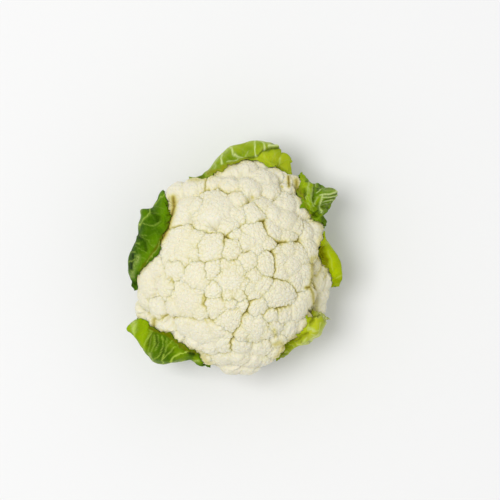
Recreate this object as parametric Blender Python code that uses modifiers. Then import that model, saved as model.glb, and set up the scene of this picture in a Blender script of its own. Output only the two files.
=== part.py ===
"""A fresh cauliflower: a domed curd of florets on a cut stalk, with six trimmed leaves round its sides.

Blender units are metres and +Z is up. The origin is the middle of the stalk's cut face, on which
the head stands. Plan positions were read from a photo taken straight down, with +Y the photo's up.
"""

import math

import bmesh
import bpy
import numpy as np
from mathutils import Vector
from mathutils.bvhtree import BVHTree

MM = 0.001

# Size of the curd, in millimetres
CURD_HALF_X = 75.0
CURD_HALF_Y = 82.0
CURD_RISE = 66.0
CURD_DROP = 27.0
WAIST_HEIGHT = 50.0
CURD_FLOOR = 24.0
CURD_TRIANGLES = 8800
CURD_SUBDIVISIONS = 7

# Shape of the lumps that make up the florets. BLEND is how softly the lumps of one floret melt together.
BALL_LEAST = 7.0
BALL_GROWTH = 0.17
RIM_REACH = 0.85
FLORET_SAG = 0.007
MOST_SAG = 2.0
BLEND = 0.5
CREASE_DEPTH = 2.6
CREASE_WIDTH = 1.1
SHALLOWEST_ANGLE = 0.3
FLATTEST_RIM = 0.02
CORE_INSET = 12.0
CORE_LIFT = 3.0

# Lumps spread evenly under and beside the named ones
FILLER_COUNT = 190
FILLER_LUMP = 6.5
FILLER_SUNK = 6.0
FILLER_INSET = 3.5
FILLER_SAG = 0.5
CLUSTER_COUNT = 60

# Branches under the head
BRANCH_COUNT = 11
BRANCH_STEPS = 4
BRANCH_START = 22.0
BRANCH_RUN = 34.0
BRANCH_HEIGHT = 33.0
BRANCH_RISE = 5.0
BRANCH_RADIUS = 8.5
BRANCH_SWELL = 2.0
BRANCH_SWAY = 0.3
GOLDEN_TURN = math.pi * (3 - math.sqrt(5))

# Stalk
STALK_RADIUS = 21.0
STALK_TOP = CURD_FLOOR - 0.3
STALK_CHAMFER = 1.2
STALK_STEPS = 40
STUB_COUNT = 8
STUB_RADIUS = 7.5
STUB_STRETCH = 1.5
STUB_OUT = 17.5
STUB_TAPER = 0.75
STUB_SIDES = 20
STUB_SWAY = 0.25
STUB_HEIGHTS = (9.0, 6.0, 8.0, 10.0, 7.0, 9.5, 6.5, 8.5)

# Leaves
LEAF_ROWS = 15
LEAF_COLUMNS = 21
LEAF_FOOT_RADIUS = 24.0
LEAF_FOOT_HEIGHT = 18.0
LEAF_EDGE_LOWEST = 64.0
LEAF_CORNER_DROP = 14.0
LEAF_OUTSIDE = 1.5
LEAF_SOLE = (41.0, 20.0)
LEAF_HEEL = (62.0, 27.0)
LEAF_ANKLE = (6.0, 40.0)
LEAF_OVER = 5.0
EDGE_EVENINGS = 3
SHOULDER_OUT = 0.8
SHOULDER_UP = 0.6
BLADE_THICKNESS = 0.9
RIB_THICKNESS = 5.8
LEAF_CLEARANCE = 1.6
LEAF_PUSHES = 6
VEIN_SPACING = 4
VEIN_SHARE = 0.1
VEINS_FROM_ROW = 4
RIB_COLUMNS = 1.2
RIB_FLARE = 2.0
WAVE_LEAN = 2.5
TOOTH_DEPTH = 0.6
TOOTH_TURN = 2.6
LEAF_NARROWING = (0.55, 0.66, 0.8, 0.92, 1.0, 1.0, 1.0)

# Each floret is a list of its lumps: plan position x, y and half width, in millimetres.
FLORETS = {
    "top": [
        (-17, 62, 5.2), (-4, 61, 6.0), (-4, 71.5, 7.0), (10, 60, 6.8), (8, 73.5, 6.5),
        (19, 75, 6.8), (21, 66, 6.8), (26, 57, 6.0), (29, 69, 5.2),
    ],
    "top_right": [(35, 66, 5.2), (44, 63, 5.2), (39, 57, 4.5)],
    "upper_right": [
        (21, 45, 6.8), (28, 41, 4.5), (26, 29, 7.5), (37, 48, 6.8),
        (38, 36, 6.8), (46, 30, 5.2), (40, 22, 6.0), (48, 44, 6.8),
    ],
    "right": [(53, 26, 5.2), (60, 30, 5.5), (61, 22, 4.5), (55, 13, 6.8)],
    "upper_left": [(-16, 43, 12.0), (1, 51, 5.2), (4, 38, 6.0), (-4, 30, 5.2), (-25, 32, 5.2)],
    "wedge": [(13, 40, 6.0)],
    "upper_left_edge": [
        (-37, 44, 7.5), (-32, 59, 6.8), (-25, 61, 3.8), (-46, 56, 5.5), (-44, 34, 5.2), (-29, 46, 4.5),
    ],
    "left": [(-42, 15, 12.8), (-30, 22, 6.0), (-31, 10, 5.2)],
    "mid_left": [(-19, 15, 9.0)],
    "mid_left_small": [(-3, 13, 6.8)],
    "middle_upper": [(16, 25, 9.0), (1, 22, 5.2), (8, 19, 5.2), (24, 18, 5.2), (16, 12, 4.5)],
    "middle_knob": [(10, 3, 6.0)],
    "middle_right": [(23, 1, 8.2)],
    "centre": [(-3, -10, 10.5), (-10, -1, 6.0), (4, -2, 4.5), (7, -14, 5.2), (-5, -22, 5.2), (3, -22, 4.5)],
    "centre_left": [(-17, -2, 6.0)],
    "left_of_centre": [(-30, -8, 9.8)],
    "left_low": [(-46, -2, 6.8)],
    "far_left": [(-64.5, -12, 10.5), (-53, -16, 6.8), (-67, -24, 7.5), (-60, 2, 9.0)],
    "lower_left": [(-36, -26, 12.0), (-46, -31, 6.0), (-26, -34, 6.0)],
    "lower_left_small": [(-58, -32, 6.8)],
    "lower_left_edge": [(-69.5, -35.5, 6.5), (-52, -45, 7.5), (-62, -43, 5.2)],
    "below_centre": [(-14, -30, 7.5), (-4, -28, 4.5)],
    "below_centre_left": [(-17, -19, 5.2)],
    "seam": [(-4, -39, 9.0), (5, -30, 5.2)],
    "chain": [(14, -7, 5.2), (10, -16, 4.5), (21, -13, 6.8), (14, -22, 5.2)],
    "lower_knob": [(16, -31, 6.8)],
    "right_of_centre": [(32, -22, 10.5)],
    "right_middle": [
        (31, 13, 4.5), (34, 4, 6.0), (40, 13, 6.0), (49, 8, 6.8), (44, 0, 6.0),
        (35, -5, 6.0), (52, -4, 6.0), (44, -11, 6.8), (52, -13, 4.5),
    ],
    "lower_right": [(52, -24, 7.5), (36, -38, 6.8), (46, -34, 7.5), (39, -48, 7.5), (50, -45, 6.8)],
    "lower_right_small": [(26, -38, 4.5), (29, -46, 4.5)],
    "low_middle": [(15, -45, 11.2), (24, -50, 5.2), (5, -51, 5.2)],
    "low_left": [
        (-24, -51, 9.8), (-36, -46, 7.5), (-14, -48, 6.0), (-9, -59, 6.8), (-5, -51, 4.5),
        (-19, -61, 5.2), (-30, -60, 6.8),
    ],
    "low_left_edge": [(-23, -68, 6.0), (-44, -55, 6.8)],
    "bottom": [
        (-10, -68, 6.8), (4, -60, 6.0), (20, -61, 7.5), (3, -69, 5.2),
        (12, -70, 6.0), (21, -69, 6.0), (-2, -76, 6.0), (9, -77, 5.2),
    ],
    "bottom_right": [(28, -64, 5.2), (32, -56, 5.2)],
    "right_edge": [
        (60, 0, 5.2), (66, -2, 4.5), (61, -13, 6.0), (67, -11, 6.0), (64, -23, 6.0), (63, -33, 5.2),
    ],
}

# The florets of the right edge sit lower on the head than the dome, in millimetres.
SET_BACK = {"right_edge": 10.0, "top_right": 3.0}

# Radius of the curd seen from above, every 22.5 degrees from +X round by +Y
HEAD_OUTLINE = (71, 70, 73, 81, 80, 73.5, 78.5, 77, 77, 81, 76, 77.5, 83, 76, 68, 74)

# For each leaf: slot, colour, the angle of its midrib, the number and depth of the waves of its edge,
# and its outline seen from above as angle in degrees, radius of the fold and radius of the upper edge,
# which lies over the curd. The angles run clockwise, so that each sheet's front faces the curd.
LEAVES = {
    "leaf_top": ("leaf_pale_green", (0.25, 0.35, 0.03), 92, 3.5, 1.4, [
        (118, 74.5, 73), (113.5, 73.3, 70.5), (109.5, 73.8, 69.3), (106.5, 74.5, 69.3),
        (102.5, 77.8, 70), (98, 83, 71.5), (93, 88, 75), (86.7, 92.5, 79), (81, 95, 81), (76, 96, 81),
        (72.5, 96.3, 80.2), (70.3, 95.5, 79.5), (68.6, 90.3, 79.3), (66.6, 91.3, 79.8), (64.8, 91, 81),
        (63.2, 88, 83.8),
    ]),
    "leaf_upper_right": ("leaf_fresh_green", (0.19, 0.3, 0.02), 37, 4.0, 1.6, [
        (55, 82, 79.5), (53, 84.5, 75), (50.5, 84.5, 71.5), (47, 84, 69.5), (44.5, 85.5, 68.5),
        (42, 88.5, 68), (39.5, 92, 67.6), (37.5, 93.5, 67.4), (35.7, 93, 67.2), (34.3, 88.5, 67),
        (33, 82.5, 66.2), (31.8, 76.5, 66), (30.3, 73.5, 67.5), (28, 72.5, 69.5), (25.5, 72, 70.2),
        (23.8, 71.3, 70.2),
    ]),
    "leaf_right": ("leaf_yellow_green", (0.33, 0.4, 0.02), 4, 2.5, 0.9, [
        (20, 70, 68), (16, 70.5, 64.3), (11.5, 72.3, 63), (6.5, 75.3, 64.2), (2, 77.8, 66.8),
        (358, 79.3, 70), (353.5, 80, 73.5), (351, 79.5, 76), (349, 78.8, 77.3),
    ]),
    "leaf_lower_right": ("leaf_light_green", (0.24, 0.33, 0.03), 312, 6.0, 0.9, [
        (331, 75.5, 71), (328.5, 77.5, 66.5), (325, 79.3, 66.3), (321, 80.7, 67.5), (317.5, 79.2, 69),
        (314, 78.4, 69), (309, 76.3, 68), (304, 76.2, 69), (300, 76.8, 70.2), (297, 77, 72),
        (293.8, 76, 74.5),
    ]),
    "leaf_lower_left": ("leaf_mid_green", (0.12, 0.22, 0.006), 229, 3.0, 1.4, [
        (255.5, 77.3, 76), (252, 76.5, 73.8), (249, 76, 71.5), (245.5, 77, 69.8), (241, 80.5, 70),
        (236.5, 87, 71), (232, 92.3, 71.5), (227, 94.5, 71.3), (222.5, 93.8, 73), (218.5, 93, 77),
        (214.5, 93.3, 81), (212.2, 94, 81.7), (210.4, 94.4, 82), (209.4, 90.5, 82), (208.4, 86, 82.8),
    ]),
    "leaf_left": ("leaf_deep_green", (0.09, 0.18, 0.006), 157, 4.0, 1.3, [
        (193.5, 78.5, 77), (190.5, 79.5, 76), (187.5, 79.8, 75), (185, 80.3, 73.3), (182.4, 80.6, 70.8),
        (178.7, 80.6, 66), (174.4, 80.5, 61.8), (170, 79.6, 59.3), (165.5, 78, 57.7), (160, 77.5, 57),
        (155, 79, 57), (151, 82, 57), (149, 83, 57.2), (147, 77.3, 57.4), (144.5, 76.5, 58),
        (141.5, 76.8, 61.5), (138.5, 77.8, 65), (136, 78.6, 68.5), (134.3, 77, 73.5),
    ]),
}

CURD_COLOUR = (0.83, 0.77, 0.56)
STALK_COLOUR = (0.62, 0.66, 0.38)


def clear_scene():
    for obj in list(bpy.data.objects):
        bpy.data.objects.remove(obj, do_unlink=True)


def new_collection(name):
    collection = bpy.data.collections.new(name)
    bpy.context.scene.collection.children.link(collection)
    return collection


def new_material(name, colour, roughness):
    material = bpy.data.materials.new(name)
    material.use_nodes = True
    shader = material.node_tree.nodes["Principled BSDF"]
    shader.inputs["Base Color"].default_value = (*colour, 1.0)
    shader.inputs["Roughness"].default_value = roughness
    shader.inputs["Metallic"].default_value = 0.0
    material.diffuse_color = (*colour, 1.0)
    return material


def object_from_bmesh(name, bm, collection):
    mesh = bpy.data.meshes.new(name)
    bm.to_mesh(mesh)
    bm.free()
    obj = bpy.data.objects.new(name, mesh)
    collection.objects.link(obj)
    return obj


def shade_smooth(obj):
    for polygon in obj.data.polygons:
        polygon.use_smooth = True


def apply_modifiers(obj):
    graph = bpy.context.evaluated_depsgraph_get()
    mesh = bpy.data.meshes.new_from_object(obj.evaluated_get(graph))
    obj.modifiers.clear()
    old = obj.data
    obj.data = mesh
    bpy.data.meshes.remove(old)
    mesh.name = obj.name


# The curd: balls whose union, seen from the middle of the head, is the surface

def dome_height(x, y, shrink):
    """Height of the upper surface of the dome, shrunk all round, or below the waist outside it."""
    inside = 1 - (x / (CURD_HALF_X - shrink)) ** 2 - (y / (CURD_HALF_Y - shrink)) ** 2
    if inside > 0:
        return WAIST_HEIGHT + (CURD_RISE - shrink) * math.sqrt(inside)
    return WAIST_HEIGHT + CURD_DROP * max(inside, -0.5)


def ball_radius(half_width):
    """The wider a lump, the flatter it is."""
    return BALL_LEAST + BALL_GROWTH * half_width ** 2


def lump_ball(x, y, half_width, set_back):
    """The ball of a lump: it touches the dome from inside, and at the rim it reaches past its middle."""
    ball = ball_radius(half_width)
    reach = np.array([x / CURD_HALF_X, y / CURD_HALF_Y])
    up = math.sqrt(max(1 - reach @ reach, FLATTEST_RIM))
    normal = np.array([reach[0] / CURD_HALF_X, reach[1] / CURD_HALF_Y, up / CURD_RISE])
    normal /= np.linalg.norm(normal)
    flat = min(math.hypot(normal[0], normal[1]), 1 - RIM_REACH * half_width / ball)
    out = math.hypot(x, y)
    x -= flat * ball * x / out
    y -= flat * ball * y / out
    return x, y, WAIST_HEIGHT + CURD_RISE * up - math.sqrt(1 - flat ** 2) * ball - set_back, ball


def spiral(count):
    """Directions spread evenly over a sphere."""
    n = np.arange(count)
    height = 1 - 2 * (n + 0.5) / count
    ring = np.sqrt(1 - height ** 2)
    return np.stack([ring * np.cos(n * GOLDEN_TURN), ring * np.sin(n * GOLDEN_TURN), height], 1)


def head_outline(turn):
    """Radius of the curd seen from above, at one angle."""
    places = np.arange(len(HEAD_OUTLINE) + 1) * 2 * math.pi / len(HEAD_OUTLINE)
    return np.interp(turn % (2 * math.pi), places, (*HEAD_OUTLINE, HEAD_OUTLINE[0]))


def filler_balls():
    """Lumps spread evenly over the whole head in small florets, sunk on top to show only between others."""
    balls = []
    ball = ball_radius(FILLER_LUMP)
    clusters = spiral(CLUSTER_COUNT)
    for way in spiral(FILLER_COUNT):
        half_z = CURD_RISE - FILLER_INSET - ball - FILLER_SUNK if way[2] > 0 else CURD_DROP - FILLER_SAG * ball
        turn = math.atan2(way[1], way[0])
        out = (head_outline(turn) - FILLER_INSET - ball) * math.hypot(way[0], way[1])
        number = len(FLORETS) + int(np.argmax(clusters @ way))
        balls.append((out * math.cos(turn), out * math.sin(turn), WAIST_HEIGHT + half_z * way[2], ball, number))
    return balls


def branch_balls():
    """The branches under the head, thickening outward from the stalk."""
    balls = []
    for n in range(BRANCH_COUNT):
        turn = 2 * math.pi * (n + BRANCH_SWAY * math.sin(2.3 * n)) / BRANCH_COUNT
        number = len(FLORETS) + CLUSTER_COUNT + n
        for share in np.linspace(0, 1, BRANCH_STEPS):
            out = BRANCH_START + BRANCH_RUN * share
            height = BRANCH_HEIGHT + BRANCH_RISE * share
            ball = BRANCH_RADIUS + BRANCH_SWELL * share
            balls.append((out * math.cos(turn), out * math.sin(turn), height, ball, number))
    return balls


def curd_balls():
    """Every ball of the head as rows of x, y, height over the waist, radius and floret number."""
    balls = []
    for number, (name, lumps) in enumerate(FLORETS.items()):
        weights = np.array([half_width ** 2 for x, y, half_width in lumps])
        middle = weights @ np.array([(x, y) for x, y, half_width in lumps]) / weights.sum()
        for x, y, half_width in lumps:
            sag = FLORET_SAG * min(np.sum((middle - (x, y)) ** 2), MOST_SAG / FLORET_SAG)
            balls.append((*lump_ball(x, y, half_width, SET_BACK.get(name, 0.0) + sag), number))
    balls = np.array(balls + filler_balls() + branch_balls())
    balls[:, 2] -= WAIST_HEIGHT
    return balls


def floret_reach(directions, balls):
    """How far out one floret reaches along each direction it meets, with the surface's slope there."""
    total = np.zeros(len(directions))
    slope = np.zeros((len(directions), 3))
    for x, y, z, radius, number in balls:
        centre = np.array([x, y, z])
        along = directions @ centre
        beside = along ** 2 - centre @ centre + radius ** 2
        met = np.flatnonzero((beside > 0) & (along > -radius))
        root = np.sqrt(beside[met])
        weight = np.exp((along[met] + root) / BLEND)
        total[met] += weight
        tangent = centre - along[met, None] * directions[met]
        slope[met] += (weight / np.maximum(root, 1.0))[:, None] * tangent
    met = np.flatnonzero(total)
    return met, BLEND * np.log(total[met]), slope[met] / total[met, None]


def core_radius(directions):
    """The smooth body under the lumps."""
    drop = np.where(directions[:, 2] > 0, CURD_RISE - CORE_INSET, CURD_DROP - CORE_LIFT)
    sides = np.broadcast_to((CURD_HALF_X - CORE_INSET, CURD_HALF_Y - CORE_INSET), (len(drop), 2))
    return 1 / np.linalg.norm(directions / np.column_stack([sides, drop]), axis=1)


def star_radius(directions, balls, crease_depth):
    """Distance of the curd's surface from the middle of the head, along each unit direction."""
    reaches = np.full((2, len(directions)), -1e3)
    slopes = np.zeros((2, len(directions), 3))
    for number in np.unique(balls[:, 4]):
        met, reach, slope = floret_reach(directions, balls[balls[:, 4] == number])
        for rank in range(2):
            ahead = reach > reaches[rank, met]
            moved = met[ahead]
            former = reaches[rank, moved], slopes[rank, moved]
            reaches[rank, moved], slopes[rank, moved] = reach[ahead], slope[ahead]
            reach[ahead], slope[ahead] = former
    angle = np.linalg.norm(slopes[0] - slopes[1], axis=1)
    to_border = (reaches[0] - reaches[1]) / np.maximum(angle, SHALLOWEST_ANGLE)
    radius = reaches[0] - crease_depth * np.exp(-to_border / CREASE_WIDTH)
    radius = np.maximum(radius, core_radius(directions))
    below = directions[:, 2] < -1e-6
    to_floor = (WAIST_HEIGHT - CURD_FLOOR) / np.where(below, -directions[:, 2], 1.0)
    return np.where(below, np.minimum(radius, to_floor), radius)


def build_curd(collection, balls):
    bm = bmesh.new()
    bmesh.ops.create_icosphere(bm, subdivisions=CURD_SUBDIVISIONS, radius=1.0)
    obj = object_from_bmesh("curd", bm, collection)
    points = np.empty(len(obj.data.vertices) * 3, np.float64)
    obj.data.vertices.foreach_get("co", points)
    directions = points.reshape(-1, 3)
    directions /= np.linalg.norm(directions, axis=1)[:, None]
    surface = directions * star_radius(directions, balls, CREASE_DEPTH)[:, None]
    surface[:, 2] += WAIST_HEIGHT
    obj.data.vertices.foreach_set("co", (surface * MM).ravel())
    thin = obj.modifiers.new("fewer triangles", "DECIMATE")
    thin.ratio = CURD_TRIANGLES / len(obj.data.polygons)
    thin.use_collapse_triangulate = True
    apply_modifiers(obj)
    shade_smooth(obj)
    obj.data.materials.append(new_material("curd_cream", CURD_COLOUR, 0.6))
    return obj


# The stalk: a turned stump with the stubs of trimmed leaves round its foot

def build_stalk(collection, cutters):
    profile = [
        (0.0, 0.0), (STALK_RADIUS - STALK_CHAMFER, 0.0), (STALK_RADIUS, STALK_CHAMFER),
        (STALK_RADIUS + 0.6, 6.0), (STALK_RADIUS - 0.6, 14.0), (STALK_RADIUS, 20.0),
        (STALK_RADIUS - 1.5, STALK_TOP), (0.0, STALK_TOP),
    ]
    bm = bmesh.new()
    corners = [bm.verts.new((radius * MM, 0, height * MM)) for radius, height in profile]
    for first, last in zip(corners, corners[1:]):
        bm.edges.new((first, last))
    obj = object_from_bmesh("stalk", bm, collection)
    turned = obj.modifiers.new("turned", "SCREW")
    turned.steps = STALK_STEPS
    turned.render_steps = STALK_STEPS
    turned.use_merge_vertices = True
    turned.merge_threshold = 0.00005
    turned.use_normal_calculate = True
    apply_modifiers(obj)
    for n in range(STUB_COUNT):
        turn = 2 * math.pi * (n + STUB_SWAY * math.sin(1.7 * n)) / STUB_COUNT
        height = STUB_HEIGHTS[n]
        out = STUB_OUT + math.cos(2.1 * n)
        bm = bmesh.new()
        bmesh.ops.create_cone(
            bm, cap_ends=True, segments=STUB_SIDES, radius1=STUB_RADIUS * MM,
            radius2=STUB_TAPER * STUB_RADIUS * MM, depth=height * MM,
        )
        stub = object_from_bmesh("stub", bm, cutters)
        for vertex in stub.data.vertices:
            x, y, z = vertex.co
            y *= STUB_STRETCH
            x += out * MM
            vertex.co = (
                x * math.cos(turn) - y * math.sin(turn),
                x * math.sin(turn) + y * math.cos(turn),
                z + 0.5 * height * MM,
            )
    joined = obj.modifiers.new("stubs", "BOOLEAN")
    joined.operation = "UNION"
    joined.operand_type = "COLLECTION"
    joined.collection = cutters
    joined.solver = "EXACT"
    apply_modifiers(obj)
    for stub in list(cutters.objects):
        bpy.data.objects.remove(stub, do_unlink=True)
    obj.data.materials.clear()
    obj.data.materials.append(new_material("stalk_green_white", STALK_COLOUR, 0.55))
    return obj


# Leaves: sheets that rise from the stalk, wrap the head and fold over its edge

def smooth_between(points, count):
    """Rows read off a smooth curve that passes through each of the given rows, evenly spaced."""
    points = np.asarray(points, float)
    padded = np.vstack([2 * points[0] - points[1], points, 2 * points[-1] - points[-2]])
    places = np.linspace(0, len(points) - 1, count)
    rows = []
    for place in places:
        start = min(int(place), len(points) - 2)
        t = place - start
        a, b, c, d = padded[start:start + 4]
        rows.append(
            0.5 * (2 * b + (c - a) * t + (2 * a - 5 * b + 4 * c - d) * t * t + (3 * b - a - 3 * c + d) * t ** 3)
        )
    return np.array(rows)


def unwrapped(outline):
    """The outline with its angles in radians, running on evenly across a full turn."""
    angles = np.unwrap(np.radians([row[0] for row in outline]))
    return [(angle, *row[1:]) for angle, row in zip(angles, outline)]


def edge_heights(rows, curd_faces):
    """Height of a leaf's upper edge over the curd at each angle, evened out between neighbours."""
    heights = []
    for angle, fold, edge in rows:
        above = Vector((edge * math.cos(angle), edge * math.sin(angle), 2 * (WAIST_HEIGHT + CURD_RISE)))
        place = curd_faces.ray_cast(above, Vector((0, 0, -1)))[0]
        heights.append(LEAF_EDGE_LOWEST if place is None else max(place.z + LEAF_OVER, LEAF_EDGE_LOWEST))
    for step in range(EDGE_EVENINGS):
        ends = np.pad(heights, 1, mode="edge")
        heights = (ends[:-2] + 2 * ends[1:-1] + ends[2:]) / 4
    return heights


def leaf_profile(fold, edge, top):
    """Radius and height of a leaf from its foot to its upper edge, at one angle round the head."""
    fold -= LEAF_OUTSIDE
    inward, ankle_height = LEAF_ANKLE
    return np.array([
        (LEAF_FOOT_RADIUS, LEAF_FOOT_HEIGHT), LEAF_SOLE, LEAF_HEEL, (fold - inward, ankle_height),
        (fold, WAIST_HEIGHT),
        (edge + SHOULDER_OUT * (fold - edge), WAIST_HEIGHT + SHOULDER_UP * (top - WAIST_HEIGHT)),
        (edge, top),
    ])


def leaf_points(rib, outline, curd_faces):
    """The inner face of a leaf as rows of points, from foot to upper edge."""
    outline = unwrapped(outline)
    rib += 2 * math.pi * round((outline[len(outline) // 2][0] - rib) / (2 * math.pi))
    narrowing = smooth_between(np.array(LEAF_NARROWING)[:, None], LEAF_ROWS)[:, 0]
    rows = smooth_between(outline, LEAF_COLUMNS)
    corners = np.abs(np.linspace(-1, 1, LEAF_COLUMNS))
    tops = edge_heights(rows, curd_faces) - LEAF_CORNER_DROP * corners ** 4
    grid = []
    for (angle, fold, edge), top in zip(rows, tops):
        profile = smooth_between(leaf_profile(fold, edge, top), LEAF_ROWS)
        turns = rib + (angle - rib) * narrowing
        grid.append(np.stack([profile[:, 0] * np.cos(turns), profile[:, 0] * np.sin(turns), profile[:, 1]], 1))
    return np.array(grid).transpose(1, 0, 2)


def clear_of_curd(points, balls, curd_faces):
    """The points moved off the curd: out from the middle of the head, then away from its nearest face."""
    away = points - np.array([0, 0, WAIST_HEIGHT])
    distance = np.linalg.norm(away, axis=1)
    directions = away / distance[:, None]
    need = star_radius(directions, balls, 0.0) + LEAF_CLEARANCE
    distance = np.where(points[:, 2] < CURD_FLOOR, distance, np.maximum(distance, need))
    moved = directions * distance[:, None] + np.array([0, 0, WAIST_HEIGHT])
    for index, point in enumerate(moved):
        for step in range(LEAF_PUSHES):
            near, normal, face, gap = curd_faces.find_nearest(Vector(point))
            outside = (Vector(point) - near).dot(normal) > 0
            if outside and gap >= LEAF_CLEARANCE:
                break
            way = (Vector(point) - near).normalized() if outside and gap > 0.01 else normal
            point = near + LEAF_CLEARANCE * 1.02 * way
        moved[index] = point
    return moved


def rib_share(row, column, rib_column):
    """How much of the rib's thickness a point has: all of it at the foot, little at the edge."""
    down = 1 - row / (LEAF_ROWS - 1)
    aside = abs(column - rib_column)
    main = down ** 1.5 * math.exp(-(aside / (RIB_COLUMNS + RIB_FLARE * down)) ** 2)
    on_vein = row > VEINS_FROM_ROW and (row - aside) % VEIN_SPACING == 0
    return max(main, VEIN_SHARE if on_vein or aside == 0 else 0.0)


def waved(points, waves, depth):
    """The points moved outward in waves that grow toward the upper edge, which is cut in small teeth."""
    away = points - np.array([0, 0, WAIST_HEIGHT])
    away /= np.linalg.norm(away, axis=1)[:, None]
    row, column = np.divmod(np.arange(len(points)), LEAF_COLUMNS)
    up = row / (LEAF_ROWS - 1)
    swing = 0.5 + 0.5 * np.sin(2 * math.pi * waves * column / (LEAF_COLUMNS - 1) + WAVE_LEAN * up)
    points = points + away * (depth * up ** 3 * swing)[:, None]
    edge = slice(-LEAF_COLUMNS, None)
    rising = points[edge] - points[-2 * LEAF_COLUMNS:-LEAF_COLUMNS]
    rising /= np.linalg.norm(rising, axis=1)[:, None]
    tooth = TOOTH_DEPTH * np.sin(TOOTH_TURN * column[edge])
    points[edge] += rising * tooth[:, None]
    return points


def build_leaf(name, collection, balls, curd_faces):
    slot, colour, rib, waves, depth, outline = LEAVES[name]
    rib = math.radians(rib)
    points = leaf_points(rib, outline, curd_faces).reshape(-1, 3)
    points = waved(clear_of_curd(points, balls, curd_faces), waves, depth)
    bm = bmesh.new()
    bmesh.ops.create_grid(bm, x_segments=LEAF_COLUMNS - 1, y_segments=LEAF_ROWS - 1, size=1.0)
    bmesh.ops.triangulate(bm, faces=bm.faces)
    obj = object_from_bmesh(name, bm, collection)
    group = obj.vertex_groups.new(name="thickness")
    spread = smooth_between(unwrapped(outline), LEAF_COLUMNS)[:, 0]
    rib_column = int(np.argmax(np.cos(spread - rib)))
    for index, vertex in enumerate(obj.data.vertices):
        row, column = divmod(index, LEAF_COLUMNS)
        vertex.co = points[index] * MM
        share = (BLADE_THICKNESS + RIB_THICKNESS * rib_share(row, column, rib_column)) / (
            BLADE_THICKNESS + RIB_THICKNESS
        )
        group.add([index], share, "REPLACE")
    thick = obj.modifiers.new("thickness", "SOLIDIFY")
    thick.thickness = (BLADE_THICKNESS + RIB_THICKNESS) * MM
    thick.offset = -1.0
    thick.vertex_group = group.name
    thick.use_rim = True
    apply_modifiers(obj)
    shade_smooth(obj)
    obj.data.materials.clear()
    obj.data.materials.append(new_material(slot, colour, 0.5))
    return obj


def main():
    clear_scene()
    head = new_collection("cauliflower")
    cutters = new_collection("joined shapes")
    cutters.hide_render = True
    balls = curd_balls()
    curd = build_curd(head, balls)
    curd_faces = BVHTree.FromPolygons(
        [vertex.co / MM for vertex in curd.data.vertices],
        [polygon.vertices for polygon in curd.data.polygons],
    )
    build_stalk(head, cutters)
    for name in LEAVES:
        build_leaf(name, head, balls, curd_faces)


main()
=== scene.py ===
"""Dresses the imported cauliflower: grained florets, veined leaves and the cut stalk, in the photo's view."""

import math

import bpy
import numpy as np
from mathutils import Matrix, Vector
from mathutils.bvhtree import BVHTree
from mathutils.kdtree import KDTree


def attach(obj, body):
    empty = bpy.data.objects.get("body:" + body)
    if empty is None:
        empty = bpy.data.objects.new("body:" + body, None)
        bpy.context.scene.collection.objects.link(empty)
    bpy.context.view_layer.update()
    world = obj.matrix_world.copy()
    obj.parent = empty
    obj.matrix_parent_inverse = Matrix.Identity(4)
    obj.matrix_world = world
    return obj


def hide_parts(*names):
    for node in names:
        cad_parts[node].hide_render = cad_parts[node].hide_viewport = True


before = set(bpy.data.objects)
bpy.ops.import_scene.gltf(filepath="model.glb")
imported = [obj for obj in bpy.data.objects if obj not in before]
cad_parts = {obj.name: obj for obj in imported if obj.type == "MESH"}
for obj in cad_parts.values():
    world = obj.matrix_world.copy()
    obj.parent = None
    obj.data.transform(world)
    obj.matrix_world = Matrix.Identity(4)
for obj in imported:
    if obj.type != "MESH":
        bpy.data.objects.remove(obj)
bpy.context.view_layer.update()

MM = 0.001
rng = np.random.default_rng(20)

# Form of the head, in millimetres, as in the part's source
CURD_HALF_X = 75.0
CURD_HALF_Y = 82.0
CURD_RISE = 66.0
CURD_DROP = 27.0
WAIST_HEIGHT = 50.0
CURD_FLOOR = 24.0
BALL_LEAST = 7.0
BALL_GROWTH = 0.17
RIM_REACH = 0.85
FLORET_SAG = 0.007
MOST_SAG = 2.0
BLEND = 0.5
SHALLOWEST_ANGLE = 0.3
FLATTEST_RIM = 0.02
CORE_INSET = 12.0
CORE_LIFT = 3.0
FILLER_COUNT = 190
FILLER_LUMP = 6.5
FILLER_SUNK = 6.0
FILLER_INSET = 3.5
FILLER_SAG = 0.5
CLUSTER_COUNT = 60
BRANCH_COUNT = 11
BRANCH_STEPS = 4
BRANCH_START = 22.0
BRANCH_RUN = 34.0
BRANCH_HEIGHT = 33.0
BRANCH_RISE = 5.0
BRANCH_RADIUS = 8.5
BRANCH_SWELL = 2.0
BRANCH_SWAY = 0.3
BRANCH_LUMP = 6.0
GOLDEN_TURN = math.pi * (3 - math.sqrt(5))
LEAF_FOOT_RADIUS = 24.0
LEAF_FOOT_HEIGHT = 18.0
LEAF_EDGE_LOWEST = 64.0
LEAF_CORNER_DROP = 14.0
LEAF_OUTSIDE = 1.5
LEAF_SOLE = (41.0, 20.0)
LEAF_HEEL = (62.0, 27.0)
LEAF_ANKLE = (6.0, 40.0)
LEAF_OVER = 5.0
EDGE_EVENINGS = 3
SHOULDER_OUT = 0.8
SHOULDER_UP = 0.6
WAVE_LEAN = 2.5
LEAF_CLEARANCE = 1.6
LEAF_PUSHES = 6
LEAF_NARROWING = (0.55, 0.66, 0.8, 0.92, 1.0, 1.0, 1.0)
CAGE_ROWS = 15
CAGE_COLUMNS = 21

# How finely the curd is divided, and how much more finely on top
SPHERE_STEPS = 160
CROWN_SHARE = 0.3

# Share, length and seed of the waves that bend the borders of the florets
SWEEPS = ((0.012, 11, 5), (0.006, 4, 6))

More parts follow.
